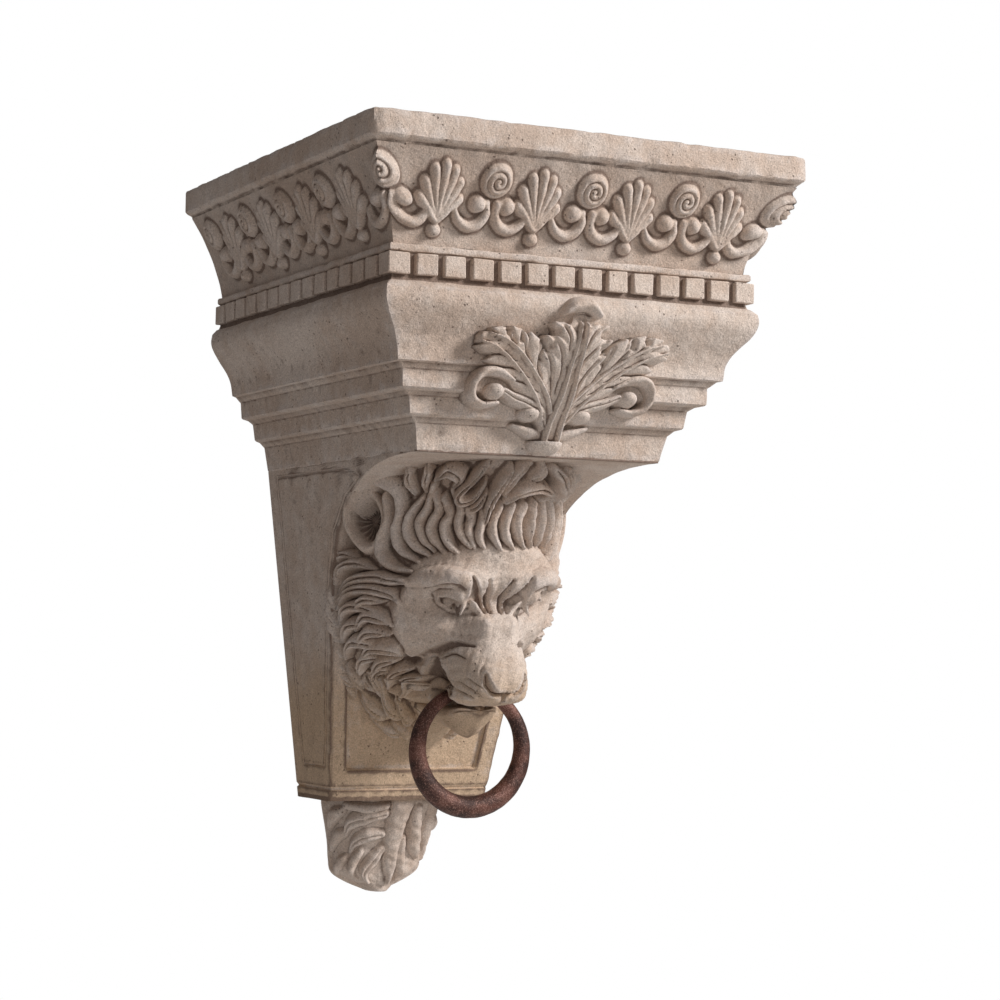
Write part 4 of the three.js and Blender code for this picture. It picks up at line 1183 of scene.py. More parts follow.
@dataclass
class Pier:
    """Tapered pier with a hollow sweep under the shelf, a sunk front panel and scored side lines."""

    shelf: Shelf
    height: float = 263.0
    foot_width: float = 138.0
    foot_depth: float = 64.2
    waist_depth: float = 105.0
    waist_height: float = 156.0
    band_height: float = 9.7
    groove_depth: float = 2.4
    groove_half: float = 1.6
    panel_depth: float = 3.4
    panel_height: float = 88.0
    panel_margin: float = 15.0
    line_depth: float = 1.7
    line_half: float = 1.3
    line_margin: float = 18.0
    tuck: float = 1.0
    sweep: float = 0.47

    def half_width(self, z: Array) -> Array:
        """Half the pier's width, an even taper from the shelf down to the foot."""
        return mixed(self.shelf.neck_width, self.foot_width, -np.minimum(z, 0) / self.height) / 2

    def front(self, z: Array) -> Array:
        """Depth of the pier: a straight slope, plus above the waist a sweep (1 - t^0.47)^(1/0.47).

        Args:
            z: Heights, below zero.

        Returns:
            The depth from the wall at each height.
        """
        slope = (self.waist_depth - self.foot_depth) / self.waist_height
        waist = self.height - self.waist_height
        at = np.minimum(z, 0.0)
        line = self.waist_depth + slope * (at + waist)
        t = np.clip(-at / waist, 0, 1)
        rest = self.shelf.neck_depth - self.waist_depth - slope * waist
        return line + rest * (1 - t**self.sweep) ** (1 / self.sweep)

    def rows(self) -> Array:
        """Heights of the rows: close together in the sweep and every 1.3 mm below it."""
        sweep = -38.0 * np.linspace(0, 1, 46) ** 1.8
        return np.concatenate([[1.5], sweep, np.arange(-39.2, -self.height, -1.3), [-self.height]])

    def band_groove(self, z: Array) -> Array:
        """How deep the groove above the foot band is at a height."""
        off = np.abs(z + self.height - self.band_height) / self.groove_half
        return self.groove_depth * np.clip(1 - off, 0, 1)

    def panel(self, x: Array, z: Array) -> Array:
        """How deep the sunk panel is at a place: full inside a tapered outline with round upper corners.

        Args:
            x: Distance across.
            z: Height.

        Returns:
            The depth of the panel.
        """
        foot = -(self.height - self.band_height - self.panel_margin)
        side = self.half_width(z) - self.panel_margin - np.abs(x)
        rise = z - foot
        head = foot + self.panel_height - z
        corner = 11.0
        round_off = np.hypot(np.clip(corner - side, 0, None), np.clip(corner - head, 0, None))
        inside = np.minimum(np.minimum(side, rise), np.minimum(head, corner - round_off))
        return self.panel_depth * eased(-1.0, 1.6, inside)

    def line(self, y: Array, z: Array) -> Array:
        """How deep the scored frame line on a side is, from the distance to its outline.

        Args:
            y: Distance from the wall.
            z: Height.

        Returns:
            The depth of the line.
        """
        low = -(self.height - self.band_height - self.line_margin)
        high = -0.02 * self.height
        half_margin = 0.5 * self.line_margin
        slope_heights = [high - 7, -26.0, -52.0, -105.0, low]
        outline = [(self.line_margin, low), (self.line_margin, high), (0.54 * self.shelf.neck_depth, high)]
        outline += [(float(self.front(np.array(h))) - half_margin, h) for h in slope_heights]
        distance = np.full(y.shape, np.inf)
        for (y0, z0), (y1, z1) in zip(outline, outline[1:] + outline[:1]):
            run = (y1 - y0, z1 - z0)
            t = np.clip(((y - y0) * run[0] + (z - z0) * run[1]) / (run[0] ** 2 + run[1] ** 2), 0, 1)
            distance = np.minimum(distance, np.hypot(y - y0 - t * run[0], z - z0 - t * run[1]))
        return self.line_depth * eased(self.line_half, 0.2, distance)

    def body(self) -> Surface:
        """The pier as one closed skin: left side, front, right side and back.

        A row is at one height. Its columns run forward along the left side, across the front and
        back along the right side, and the grooves and the panel are cut square to each face.

        Returns:
            The pier.
        """
        z = self.rows()[:, None]
        wide, deep = self.half_width(z), self.front(z)
        near_wall = np.linspace(0, 40, 36)
        edge = np.linspace(30, 0, 27)
        middle = np.linspace(0, 1, 18)[1:-1]
        between = mixed(40 + 0 * z, deep - 30, middle[None, :])
        along = np.concatenate([near_wall + 0 * z, between, deep - edge], axis=1)
        side_cut = self.line(along, z + 0 * along) + self.band_groove(z)
        left = np.stack([-(wide - side_cut), -along, z + 0 * along], axis=-1)
        across = np.linspace(-1, 1, 118)[None, 1:-1] * wide
        front_cut = self.panel(across, z + 0 * across) + self.band_groove(z)
        front = np.stack([across, -(deep - front_cut), z + 0 * across], axis=-1)
        right = left[:, ::-1] * np.array([-1.0, 1.0, 1.0])
        grid = np.concatenate([left, front, right], axis=1)
        free = np.clip(-grid[..., 1:2] / 4, 0, 1)
        out = np.sign(grid[..., :1]) * (np.abs(grid[..., :1]) > wide[..., None] - 6)
        push = 0.35 * uneven(grid, 30.0, 31) + 0.22 * uneven(grid, 11.0, 32)
        grid = grid + push[..., None] * free * np.concatenate([out, -(1 - np.abs(out)), 0 * out], axis=-1)
        corner = np.hypot(wide[..., None] - np.abs(grid[..., :1]), deep[..., None] + grid[..., 1:2])
        diagonal = np.concatenate([np.sign(grid[..., :1]), 0 * out - 1, 0 * out], axis=-1)
        grid = grid - 0.7 * np.clip(1 - corner / 2.0, 0, 1) * diagonal
        back = np.stack([mixed(wide, -wide, np.linspace(0, 1, 6)[None, 1:-1]), 0 * z + np.zeros((1, 4)),
                         z + np.zeros((1, 4))], axis=-1)
        grid = np.concatenate([grid, back], axis=1)
        foot = grid[-1:].copy()
        foot[..., 0] *= 0.02
        foot[..., 1] = foot[..., 1] * 0.02 - 20
        grid[0, :, 1] = np.minimum(grid[0, :, 1], -self.tuck)
        made = Surface.of_grid(np.concatenate([grid, foot]), None, True, 6, 0.55)
        made.hollow = clean_wall(made.hollow.reshape(len(grid) + 1, -1)).reshape(-1)
        return made

    def dress(self, finish: bpy.types.Material) -> None:
        """Makes the pier and gives it its finish."""
        place_piece(self.body().piece("pier", 50.0), finish, "bracket")


@dataclass
class Ring:
    """Iron ring, thicker at its foot, hanging from its pivot in the lion's mouth."""

    radius: float = 44.5
    wire_top: float = 4.8
    wire_foot: float = 8.5
    from_wall: float = 174.6
    pivot_drop: float = 172.4
    swing_back: float = -4.0
    swing_forward: float = 34.0

    def wire(self, turn: Array) -> Array:
        """Radius of the wire at an angle from the top: thin above and thick below, as half a cosine."""
        return mixed(self.wire_top, self.wire_foot, (1 - np.cos(turn)) / 2)

    def surface(self) -> Surface:
        """A torus whose wire radius grows towards its foot, with a slightly hammered skin.

        Returns:
            The ring.
        """
        turn = np.linspace(0, 2 * math.pi, 241)[:-1, None]
        roll = np.linspace(0, 2 * math.pi, 49)[None, :-1]
        wire = self.wire(turn) + 0 * roll
        seed = np.stack([40 * np.sin(turn) + 0 * roll, 8 * np.sin(roll) + 0 * turn,
                         40 * np.cos(turn) + 8 * np.cos(roll)], axis=-1)
        wire = wire - 0.12 + 0.12 * uneven(seed, 7.0, 41)
        far = self.radius + wire * np.cos(roll)
        grid = np.stack([far * np.sin(turn), wire * np.sin(roll) - self.from_wall,
                         far * np.cos(turn) - self.radius - self.pivot_drop], axis=-1)
        rows = np.concatenate([grid, grid[:1]])
        return Surface.of_grid(rows, None, True, 3, 0.6)

    def clearance(self, points: Array) -> Array:
        """Least distance from each place to the ring's skin over its whole swing.

        Args:
            points: Places in millimetres, three coordinates on the last axis.

        Returns:
            The distance, below zero inside the ring.
        """
        least = np.full(points.shape[:-1], np.inf)
        for degrees in np.linspace(self.swing_back - 1, self.swing_forward + 1, 12):
            turn = math.radians(degrees)
            y = points[..., 1] + self.from_wall
            z = points[..., 2] + self.pivot_drop
            across = y * math.cos(turn) - z * math.sin(turn)
            down = y * math.sin(turn) + z * math.cos(turn) + self.radius
            radial = np.hypot(points[..., 0], down)
            around = np.arctan2(points[..., 0], down)
            least = np.minimum(least, np.hypot(radial - self.radius, across) - self.wire(around))
        return least

    def dress(self, finish: bpy.types.Material) -> None:
        """Makes the ring and gives it its finish."""
        place_piece(self.surface().piece("hanging_ring", 80.0), finish, "ring")


@dataclass
class LionHead:
    """Lion head in shares of 100 mm: a broad face in a mane, with its muzzle over an open mouth."""

    pier: Pier
    ring: Ring
    unit: float = 100.0
    columns: int = 312
    skin_turn: float = 1.75
    keys: tuple = (
        (-2.2, 0.14, 1.0, 0.1, 0.9), (-2.1, 0.26, 1.14, 0.16, 1.0), (-1.92, 0.49, 1.36, 0.24, 1.12),
        (-1.72, 0.65, 1.64, 0.3, 1.2), (-1.5, 0.76, 1.86, 0.36, 1.25), (-1.3, 0.83, 1.98, 0.48, 1.5),
        (-1.12, 0.87, 2.02, 0.62, 1.62), (-0.92, 0.87, 2.18, 0.57, 1.68), (-0.6, 0.84, 2.3, 0.5, 1.7),
        (-0.3, 0.84, 2.42, 0.48, 1.7), (0.03, 0.9, 2.66, 0.5, 1.9),
    )
    lip: float = -1.80
    fold: float = 0.05

    def rows(self) -> Array:
        """Heights of the rows: even above the lip, dense where the muzzle turns under, even below.

        Returns:
            The heights, in falling order.
        """
        above = np.linspace(0.03, self.lip, 238)
        under = np.linspace(self.lip, self.lip - self.fold, 44)
        below = np.linspace(self.lip - self.fold, -2.2, 34)
        return np.concatenate([above, under[1:], below[1:]])

    def features(self, x: Array, z: Array) -> Array:
        """Depth that the broad features add to the face: nose, brows, sockets and cheeks.

        Args:
            x: Distance across.
            z: Height.

        Returns:
            The depth in shares.
        """
        a = np.abs(x)
        nose = 0.23 * (1 - eased(0.09, 0.30, a)) * eased(-1.00, -1.24, z)
        brow = 0.11 * hill(a, z, 0.38, -0.88, 0.24, 0.08) + 0.08 * hill(a, z, 0.14, -0.99, 0.11, 0.11)
        socket = -0.125 * hill(a, z, 0.26, -1.045, 0.17, 0.085)
        cheek = 0.09 * hill(a, z, 0.42, -1.26, 0.26, 0.15)
        return nose + brow + socket + cheek

    def base(self, t: Array, z: Array) -> tuple[Array, Array]:
        """The head without its hair and fine cuts.

        Args:
            t: Place round the head, from -1 at the left edge through 0 to 1.
            z: Height.

        Returns:
            The place across and the depth: a Bezier arch between the keys of each height, plus the
            features, under a blunt block for the muzzle that ends at the lip.
        """
        values = along_keys(self.keys, z)
        wide, deep, roundness, temple = (values[..., k] for k in range(4))
        back = np.minimum(1.95, self.pier.front(z * self.unit) / self.unit) - 0.12
        a = np.abs(t)
        b = 1 - a
        x = (3 * roundness * b**2 * a + 3 * wide * b * a**2 + wide * a**3) * np.sign(t)
        depth = deep * (b**3 + 3 * b**2 * a) + 3 * np.maximum(temple, back + 0.05) * b * a**2 + back * a**3
        turned = np.clip((self.lip - z) / self.fold, 0, 1)
        depth = depth + self.features(x, z) * (1 - a**3) * (1 - turned)
        foot_round = 0.07 * (1 - np.sqrt(1 - np.clip((self.lip + 0.09 - z) / 0.09, 0, 1) ** 2))
        pads = 0.05 * hill(np.abs(x), z, 0.2, -1.68, 0.15, 0.12)
        front = 2.30 - 0.20 * np.abs(x / 0.38) ** 2.2 + pads - foot_round
        block = np.exp(-np.abs(x / 0.355) ** 6 - (np.clip(z + 1.62, 0, None) / 0.27) ** 4) * (1 - turned)
        return x, mixed(depth, np.maximum(depth, front), block)

    def lock(self, path: Sequence, hand: int, *shape: Any) -> Stroke:
        """A lock along points of (place round the head, height), on the other side where hand is -1."""
        return Stroke([(hand * self.skin_turn * t, z) for t, z in path], *shape)

    def fringe(self) -> list[Stroke]:
        """Wavy locks over the forehead, left ones first, and the curls above them, over (1.75 t, z).

        Returns:
            The strokes.
        """
        waves = (
            [(-0.98, -0.13), (-0.67, -0.21), (-0.59, -0.38), (-0.60, -0.53), (-0.55, -0.67), (-0.43, -0.76)],
            [(-0.72, -0.26), (-0.66, -0.42), (-0.68, -0.58), (-0.66, -0.70), (-0.58, -0.79), (-0.47, -0.83)],
            [(-0.48, -0.29), (-0.53, -0.41), (-0.53, -0.53), (-0.47, -0.64), (-0.39, -0.71)],
            [(-0.44, -0.20), (-0.44, -0.35), (-0.47, -0.46), (-0.44, -0.58), (-0.37, -0.68)],
            [(-0.42, -0.26), (-0.38, -0.37), (-0.41, -0.49), (-0.38, -0.59), (-0.31, -0.69)],
            [(-0.37, -0.29), (-0.32, -0.40), (-0.34, -0.49), (-0.31, -0.60), (-0.24, -0.69)],
            [(-0.33, -0.23), (-0.27, -0.35), (-0.27, -0.46), (-0.24, -0.56), (-0.18, -0.65)],
            [(-0.26, -0.32), (-0.21, -0.42), (-0.21, -0.52), (-0.16, -0.65)],
            [(-0.16, -0.35), (-0.15, -0.48), (-0.15, -0.56), (-0.11, -0.65)],
            [(-0.06, -0.35), (-0.09, -0.45), (-0.08, -0.53), (-0.02, -0.66)],
            [(0.01, -0.34), (-0.02, -0.45), (-0.01, -0.54), (0.05, -0.65)],
            [(0.09, -0.34), (0.05, -0.43), (0.06, -0.52), (0.12, -0.64)],
            [(0.16, -0.32), (0.14, -0.44), (0.17, -0.63)],
            [(0.23, -0.30), (0.23, -0.44), (0.25, -0.62)],
            [(0.32, -0.29), (0.33, -0.44), (0.33, -0.63)],
            [(0.43, -0.28), (0.44, -0.42), (0.41, -0.66)],
            [(0.53, -0.28), (0.56, -0.45), (0.50, -0.72)],
            [(0.66, -0.30), (0.68, -0.55), (0.60, -0.78), (0.5, -0.84)],
        )
        curls = (
            ([(-0.62, -0.02), (-0.60, -0.12), (-0.53, -0.26)], 0.05, 0.12),
            ([(-0.50, -0.02), (-0.49, -0.12), (-0.47, -0.24)], 0.05, 0.13),
            ([(-0.43, -0.14), (-0.38, -0.08), (-0.31, -0.13), (-0.33, -0.21)], 0.055, 0.17),
            ([(-0.2, -0.04), (-0.25, -0.15), (-0.29, -0.24), (-0.27, -0.3), (-0.22, -0.28), (-0.18, -0.19)],
             0.05, 0.20),
            ([(-0.16, -0.26), (-0.19, -0.34), (-0.24, -0.38)], 0.05, 0.15),
            ([(-0.07, -0.08), (-0.11, -0.2), (-0.13, -0.33), (-0.13, -0.47)], 0.052, 0.19),
            ([(0.02, -0.03), (-0.03, -0.1), (-0.06, -0.2), (-0.05, -0.27)], 0.05, 0.14),
            ([(-0.04, -0.31), (0.02, -0.24), (0.10, -0.195), (0.19, -0.2), (0.25, -0.24), (0.19, -0.285)],
             0.048, 0.15),
            ([(0.11, -0.03), (0.12, -0.09), (0.08, -0.16)], 0.05, 0.12),
            ([(0.2, -0.05), (0.28, -0.11), (0.34, -0.19), (0.33, -0.26)], 0.06, 0.19),
            ([(0.36, -0.05), (0.44, -0.12), (0.52, -0.2)], 0.055, 0.15),
            ([(0.58, -0.06), (0.68, -0.16), (0.66, -0.28)], 0.055, 0.12),
        )
        locks = [self.lock(path, 1, (0.035, 0.056, 0.058, 0.05, 0.014), 0.125, 1, 0.55, (0.4, 0.12))
                 for path in waves]
        locks += [self.lock(path, 1, (0.6 * half, half, half, 0.5 * half), height, 2, 0.5)
                  for path, half, height in curls]
        return locks

    def mane(self) -> list[Stroke]:
        """Crescent locks beside the face and flowing locks behind and below them, over (1.75 t, z).

        Returns:
            The strokes.
        """
        crescents = (
            [(0.99, -0.80), (0.93, -0.70), (0.84, -0.72)],
            [(0.95, -0.93), (0.90, -0.80), (0.80, -0.77), (0.70, -0.81)],
            [(0.90, -1.00), (0.81, -0.90), (0.66, -0.875), (0.56, -0.90), (0.46, -0.905)],
            [(0.90, -1.12), (0.82, -0.99), (0.68, -0.965), (0.55, -1.00), (0.47, -1.06)],
            [(0.76, -1.13), (0.69, -1.05), (0.58, -1.06)],
            [(0.88, -1.23), (0.81, -1.11), (0.70, -1.10), (0.55, -1.17)],
            [(0.76, -1.28), (0.68, -1.17), (0.57, -1.19), (0.53, -1.24)],
            [(0.86, -1.37), (0.80, -1.24), (0.69, -1.24)],
            [(0.76, -1.41), (0.68, -1.29), (0.55, -1.31)],
            [(0.85, -1.50), (0.79, -1.37), (0.69, -1.37), (0.56, -1.42)],
            [(0.73, -1.52), (0.66, -1.41), (0.52, -1.42), (0.47, -1.47)],
            [(0.76, -1.62), (0.71, -1.50), (0.60, -1.49)],
            [(0.66, -1.64), (0.60, -1.52), (0.48, -1.50)],
            [(0.68, -1.74), (0.62, -1.60), (0.52, -1.585)],
            [(0.56, -1.72), (0.52, -1.61), (0.43, -1.575)],
            [(0.60, -1.82), (0.55, -1.70), (0.46, -1.66)],
            [(0.48, -1.76), (0.455, -1.68), (0.40, -1.645)],
            [(0.50, -1.86), (0.46, -1.76), (0.40, -1.72)],
        )
        flowing = (
            [(0.99, -0.92), (0.97, -1.02), (0.93, -1.12)], [(0.99, -1.04), (0.97, -1.15), (0.92, -1.26)],
            [(0.99, -1.16), (0.96, -1.28), (0.91, -1.38)], [(0.99, -1.28), (0.96, -1.4), (0.9, -1.5)],
            [(0.99, -1.41), (0.95, -1.53), (0.88, -1.62)], [(0.98, -1.54), (0.92, -1.65), (0.83, -1.73)],
            [(0.86, -1.56), (0.80, -1.68), (0.72, -1.76)], [(0.96, -1.68), (0.88, -1.79), (0.76, -1.86)],
            [(0.76, -1.68), (0.72, -1.8), (0.62, -1.88)], [(0.93, -1.83), (0.82, -1.93), (0.66, -1.98)],
            [(0.66, -1.80), (0.62, -1.92), (0.46, -1.97)], [(0.9, -1.98), (0.76, -2.07), (0.6, -2.1)],
            [(0.54, -1.88), (0.46, -1.97), (0.38, -2.0)], [(0.66, -2.02), (0.55, -2.08), (0.46, -2.11)],
        )
        locks = []
        for hand in (-1, 1):
            locks += [self.lock(path, hand, (0.02, 0.06, 0.064, 0.05, 0.014), 0.14, 2, 0.7, (0.25, 0.12))
                      for path in crescents]
            locks += [self.lock(path, hand, (0.03, 0.065, 0.06, 0.016), 0.115, 2, 0.6, (0.4, 0.15))
                      for path in flowing]
        return locks

    def in_hair(self, t: Array, z: Array) -> Array:
        """How far a place lies in the hair: 1 above the hairline and beside the face, 0 on the face.

        Args:
            t: Place round the head.
            z: Height.

        Returns:
            The share, from 0 to 1.
        """
        a = np.abs(t)
        line = np.interp(a, [0, 0.15, 0.3, 0.42, 0.49, 0.6, 1],
                         [-0.645, -0.645, -0.68, -0.75, -0.83, -0.95, -1.2])
        edge = np.interp(z, [-2.2, -1.9, -1.7, -1.51, -1.45, -1.3, -1.14, -0.94, -0.83, 0],
                         [0.1, 0.34, 0.37, 0.39, 0.46, 0.53, 0.50, 0.46, 0.46, 0.5])
        return np.maximum(eased(line - 0.03, line + 0.09, z), eased(edge - 0.02, edge + 0.07, a))

    def face_cuts(self, a: Array, z: Array) -> Array:
        """Depth of all the grooves of the face, over (distance across, z): the cuts added up.

        Args:
            a: Distance from the middle line.
            z: Height.

        Returns:
            The depth in shares.
        """
        cuts = (
            Stroke([(0.25, -0.87), (0.19, -0.97), (0.13, -1.06), (0.10, -1.12)],
                   (0.014, 0.034, 0.036, 0.024), 0.07, 1, 1.1, (0.3, 0.4)),
            Stroke([(0.10, -0.89), (0.07, -1.0), (0.045, -1.12)],
                   (0.014, 0.034, 0.024), 0.06, 1, 1.1, (0.3, 0.4)),
            Stroke([(0.52, -0.955), (0.43, -0.91), (0.33, -0.91), (0.23, -0.965), (0.16, -1.06)],
                   (0.008, 0.014, 0.015, 0.014, 0.01), 0.03, 1, 0.8),
            Stroke([(0.45, -1.53), (0.40, -1.49), (0.35, -1.42), (0.28, -1.365), (0.19, -1.38)],
                   (0.04, 0.05, 0.042, 0.03, 0.015), 0.06, 1, 1.2, (0.6, 0.1)),
            Stroke([(0.335, -1.475), (0.30, -1.442), (0.255, -1.475)], (0.008, 0.014, 0.008), 0.04, 1, 0.7),
            Stroke([(0.155, -1.60), (0.15, -1.665), (0.095, -1.725), (0.02, -1.735)],
                   (0.012, 0.03, 0.02, 0.012), 0.08, 1, 0.7, (0.5, 0.3)),
            Stroke([(0.0, -1.735), (0.0, -1.80)], (0.014, 0.02), 0.06, 1, 0.7, (0.7, 1.0)),
            Stroke([(0.28, -1.655), (0.24, -1.71), (0.18, -1.755)], (0.005, 0.009, 0.005), 0.018, 1, 0.8),
            Stroke([(0.31, -1.69), (0.27, -1.745), (0.21, -1.785)], (0.005, 0.009, 0.005), 0.018, 1, 0.8),
            Stroke([(0.255, -1.62), (0.22, -1.665), (0.175, -1.70)], (0.005, 0.008, 0.005), 0.014, 1, 0.8),
            Stroke([(0.365, -1.50), (0.355, -1.60), (0.34, -1.70), (0.335, -1.80)],
                   (0.02, 0.036, 0.042, 0.045), 0.16, 1, 0.6, (0.3, 1.0)),
        )
        return sum(cut.over(a, z) for cut in cuts)

    def carving(self, t: Array, x: Array, z: Array) -> Array:
        """Height of the hair and the face's fine forms over the base, in shares.

        The hair is the highest lock over a ground sunk by 0.075. The face has brows, lids, eyeballs,
        a nose pad and the upper edge of the muzzle pads, less its cuts.

        Args:
            t: Place round the head.
            x: Distance across.
            z: Height.

        Returns:
            The height at each place.
        """
        u = self.skin_turn * t
        a = np.abs(x)
        in_hair = self.in_hair(t, z)
        locks = highest(u, z, self.fringe() + self.mane())
        height = locks * (0.45 + 0.55 * in_hair) - 0.075 * in_hair
        ball = button(a, z, 0.25, -1.04, 0.105, 0.066, 0.095)
        iris = button(a, z, 0.235, -1.03, 0.04, 0.045, 0.012)
        rim = -0.02 * np.exp(-((np.hypot(a - 0.235, z + 1.03) - 0.048) / 0.014) ** 2)
        height = height + np.where(in_hair < 0.5, ball + (iris + rim) * (ball > 0.02), 0)
        ridges = (
            Stroke([(0.63, -0.91), (0.54, -0.88), (0.44, -0.865), (0.34, -0.885), (0.25, -0.945),
                    (0.175, -1.03), (0.13, -1.11)],
                   (0.05, 0.085, 0.095, 0.09, 0.075, 0.05), 0.062, 1, 1.5, (0.5, 0.7)),
            Stroke([(0.44, -0.99), (0.37, -0.965), (0.29, -0.955), (0.205, -1.0), (0.15, -1.11)],
                   (0.012, 0.03, 0.038, 0.038, 0.03), 0.062, 1, 1.0, (0.4, 0.6)),
            Stroke([(0.43, -0.995), (0.37, -1.065), (0.29, -1.11), (0.22, -1.12), (0.15, -1.115)],
                   (0.012, 0.024, 0.028, 0.028, 0.024), 0.04, 1, 1.0, (0.4, 0.5)),
        )
        for ridge in ridges:
            height = height + ridge.over(a, z)
        nose = np.clip(1 - (a / 0.185) ** 3 - np.abs((z + 1.62) / 0.125) ** 3, 0, 1) ** 0.6
        nose = 0.045 * nose * eased(-1.50, -1.57, z)
        ear_bed = 0.15 * hill(np.abs(t), z, 0.875, -0.43, 0.10, 0.19, 4)
        height = height - ear_bed
        return height + nose - self.face_cuts(a, z)

    def surface(self) -> Surface:
        """The head: its base moved out along its normals by the carving, then opened for the ring.

        Under the lip the muzzle turns back level. Where the ring's bar passes, that level part is
        lifted to a slot over the bar. Last, a place nearer to the swinging ring than 0.9 mm moves back.

        Returns:
            The head.
        """
        t = np.linspace(-1, 1, self.columns)[None, :]
        z = self.rows()[:, None]
        t, z = np.broadcast_arrays(t, z)
        x, depth = self.base(t, z)
        grid = np.stack([x, -depth, z], axis=-1)
        normal = normals_of(blurred(grid, 14))
        if float(normal[..., 1].sum()) > 0:
            normal = -normal
        turned = np.clip((self.lip - z) / self.fold, 0, 1) * (z > self.lip - self.fold - 0.001)
        under_muzzle = turned * np.exp(-np.abs(x / 0.5) ** 6)
        top = eased(0.03, 0.0, z)
        carved = self.carving(t, x, z)
        carved = carved + 0.004 * uneven(grid, 0.09, 51) + 0.003 * uneven(grid, 0.04, 52)
        grid = grid + normal * (carved * (1 - under_muzzle) * (0.4 + 0.6 * top))[..., None]
        x, depth, height = grid[..., 0], -grid[..., 1], grid[..., 2]
        pad = 0.10 * np.abs(x / 0.4) ** 2 + 0.02 * np.exp(-((x / 0.04) ** 2)) - 0.02
        height = height + pad * np.exp(-np.abs((z - self.lip) / 0.12) ** 2) * (np.abs(x) < 0.6)
        radius = self.ring.radius / self.unit
        inside = np.minimum(np.abs(x), 0.9 * radius)
        drop = radius - np.sqrt(radius**2 - inside**2)
        hub_depth, hub_height = self.ring.from_wall / self.unit, -self.ring.pivot_drop / self.unit
        ceiling = hub_height - drop + 0.092 * radius / np.sqrt(radius**2 - inside**2)
        window = eased(hub_depth - 0.125, hub_depth - 0.095, depth) * eased(
            hub_depth + 0.14, hub_depth + 0.10, depth - 0.62 * drop) * eased(0.50, 0.45, np.abs(x))
        in_fold = (z <= self.lip) & (z >= self.lip - self.fold - 0.02)
        lifted = np.where(in_fold, mixed(height, np.maximum(height, ceiling), window), height)
        grid = np.stack([x, -depth, lifted], axis=-1) * self.unit
        for _ in range(3):
            gap = self.ring.clearance(grid)
            push = np.clip(0.9 - gap, 0, 4)
            grid[..., 1] += np.where(grid[..., 1] > -self.ring.from_wall, push, 0)
            grid[..., 2] += np.where(grid[..., 1] <= -self.ring.from_wall, push, 0)
        return Surface.of_grid(grid, np.array([0.0, -1.0, 0.0]), rounds=9, depth=1.15)

    def ear(self, hand: int) -> Surface:
        """One ear: a deep bowl of rings round an axis that faces outward and forward.

        Args:
            hand: -1 for the left ear, 1 for the right one.

        Returns:
            The ear, narrower at its foot, with hair standing in its hollow.
        """
        centre = np.array([0.755 * hand, -1.5, -0.44])
        facing = np.array([0.75 * hand, -0.66, 0.05])
        facing = facing / np.linalg.norm(facing)
        up = np.array([0.1 * hand, 0.1, 1.0])
        across = np.cross(up, facing)
        across = across / np.linalg.norm(across)
        up = np.cross(facing, across)
        bowl = [(0.6, -0.28), (0.92, -0.1), (1.05, 0.03), (1.04, 0.10), (0.9, 0.13), (0.74, 0.08),
                (0.58, -0.03), (0.34, -0.09), (0.02, -0.10)]
        profile = smooth_path(bowl, 46)
        turn = np.linspace(0, 2 * math.pi, 97)[None, :-1]
        share, out = profile[:, :1], profile[:, 1:]
        narrow = 1 - 0.22 * eased(0.1, -1.0, np.cos(turn))
        strands = 0.018 * np.cos(17 * turn) * eased(0.72, 0.5, share) * eased(0.1, 0.3, share)
        wide = share * 0.175 * np.sin(turn) * narrow
        tall = share * 0.25 * np.cos(turn)
        lift = out + strands + 0.03 * np.cos(turn) * eased(0.5, 1.0, share)
        grid = centre + lift[..., None] * facing + wide[..., None] * across + tall[..., None] * up
        made = Surface.of_grid(grid * self.unit, facing, True, 4, 1.4)
        # painted shade: the bowl of the ear is marked hollower still, so it goes darker
        deep = eased(0.78, 0.5, share) * (out < 0.09) + 0 * turn
        made.hollow = np.clip(made.hollow + 0.75 * deep.reshape(-1), -1, 1)
        return made

    def jaw(self) -> Surface:
        """Lower jaw: sections that run out through the ring, with a row of teeth and a pointed chin.

        Returns:
            The jaw.
        """
        lip = -(self.ring.pivot_drop + self.ring.wire_top + 3.2) / self.unit
        middle = self.ring.from_wall / self.unit
        keys = ((middle - 0.42, 0.28, 0.0, -0.2), (middle - 0.22, 0.23, -0.03, -0.24),
                (middle - 0.05, 0.205, -0.04, -0.285), (middle + 0.05, 0.185, -0.04, -0.22),
                (middle + 0.12, 0.15, -0.04, -0.15), (middle + 0.15, 0.08, -0.055, -0.11))
        depth = np.linspace(keys[0][0], keys[-1][0], 44)
        half, top, foot = (along_keys(keys, depth)[:, k:k + 1] for k in range(3))
        turn = np.linspace(0, 2 * math.pi, 73)[None, :-1]
        side = np.sin(turn)
        rise = np.cos(turn)
        pointed = np.where(rise < 0, -(1 - np.abs(side) ** 1.25), np.abs(rise) ** 0.35)
        middle_z = mixed(top, foot, 0.32)
        z = middle_z + np.where(pointed > 0, pointed * (top - middle_z), -pointed * (foot - middle_z))
        front = eased(middle + 0.02, middle + 0.12, depth)[:, None]
        teeth = 0.022 * np.cos(side * 20) * eased(0.0, 0.3, rise) * front
        teeth = teeth - 0.03 * np.exp(-(((rise + 0.12) / 0.1) ** 2)) * front
        x = half * np.sign(side) * np.abs(side) ** 0.8
        grid = np.stack([x, -(depth[:, None] + teeth + 0 * x), lip + z + 0 * x], axis=-1) * self.unit
        grid = grid + 0.4 * uneven(grid, 9.0, 61)[..., None] * np.array([1.0, 0.0, -0.5])
        gap = self.ring.clearance(grid)
        grid[..., 2] -= np.clip(0.9 - gap, 0, 3)
        return loft(grid, None, 4, 1.2)

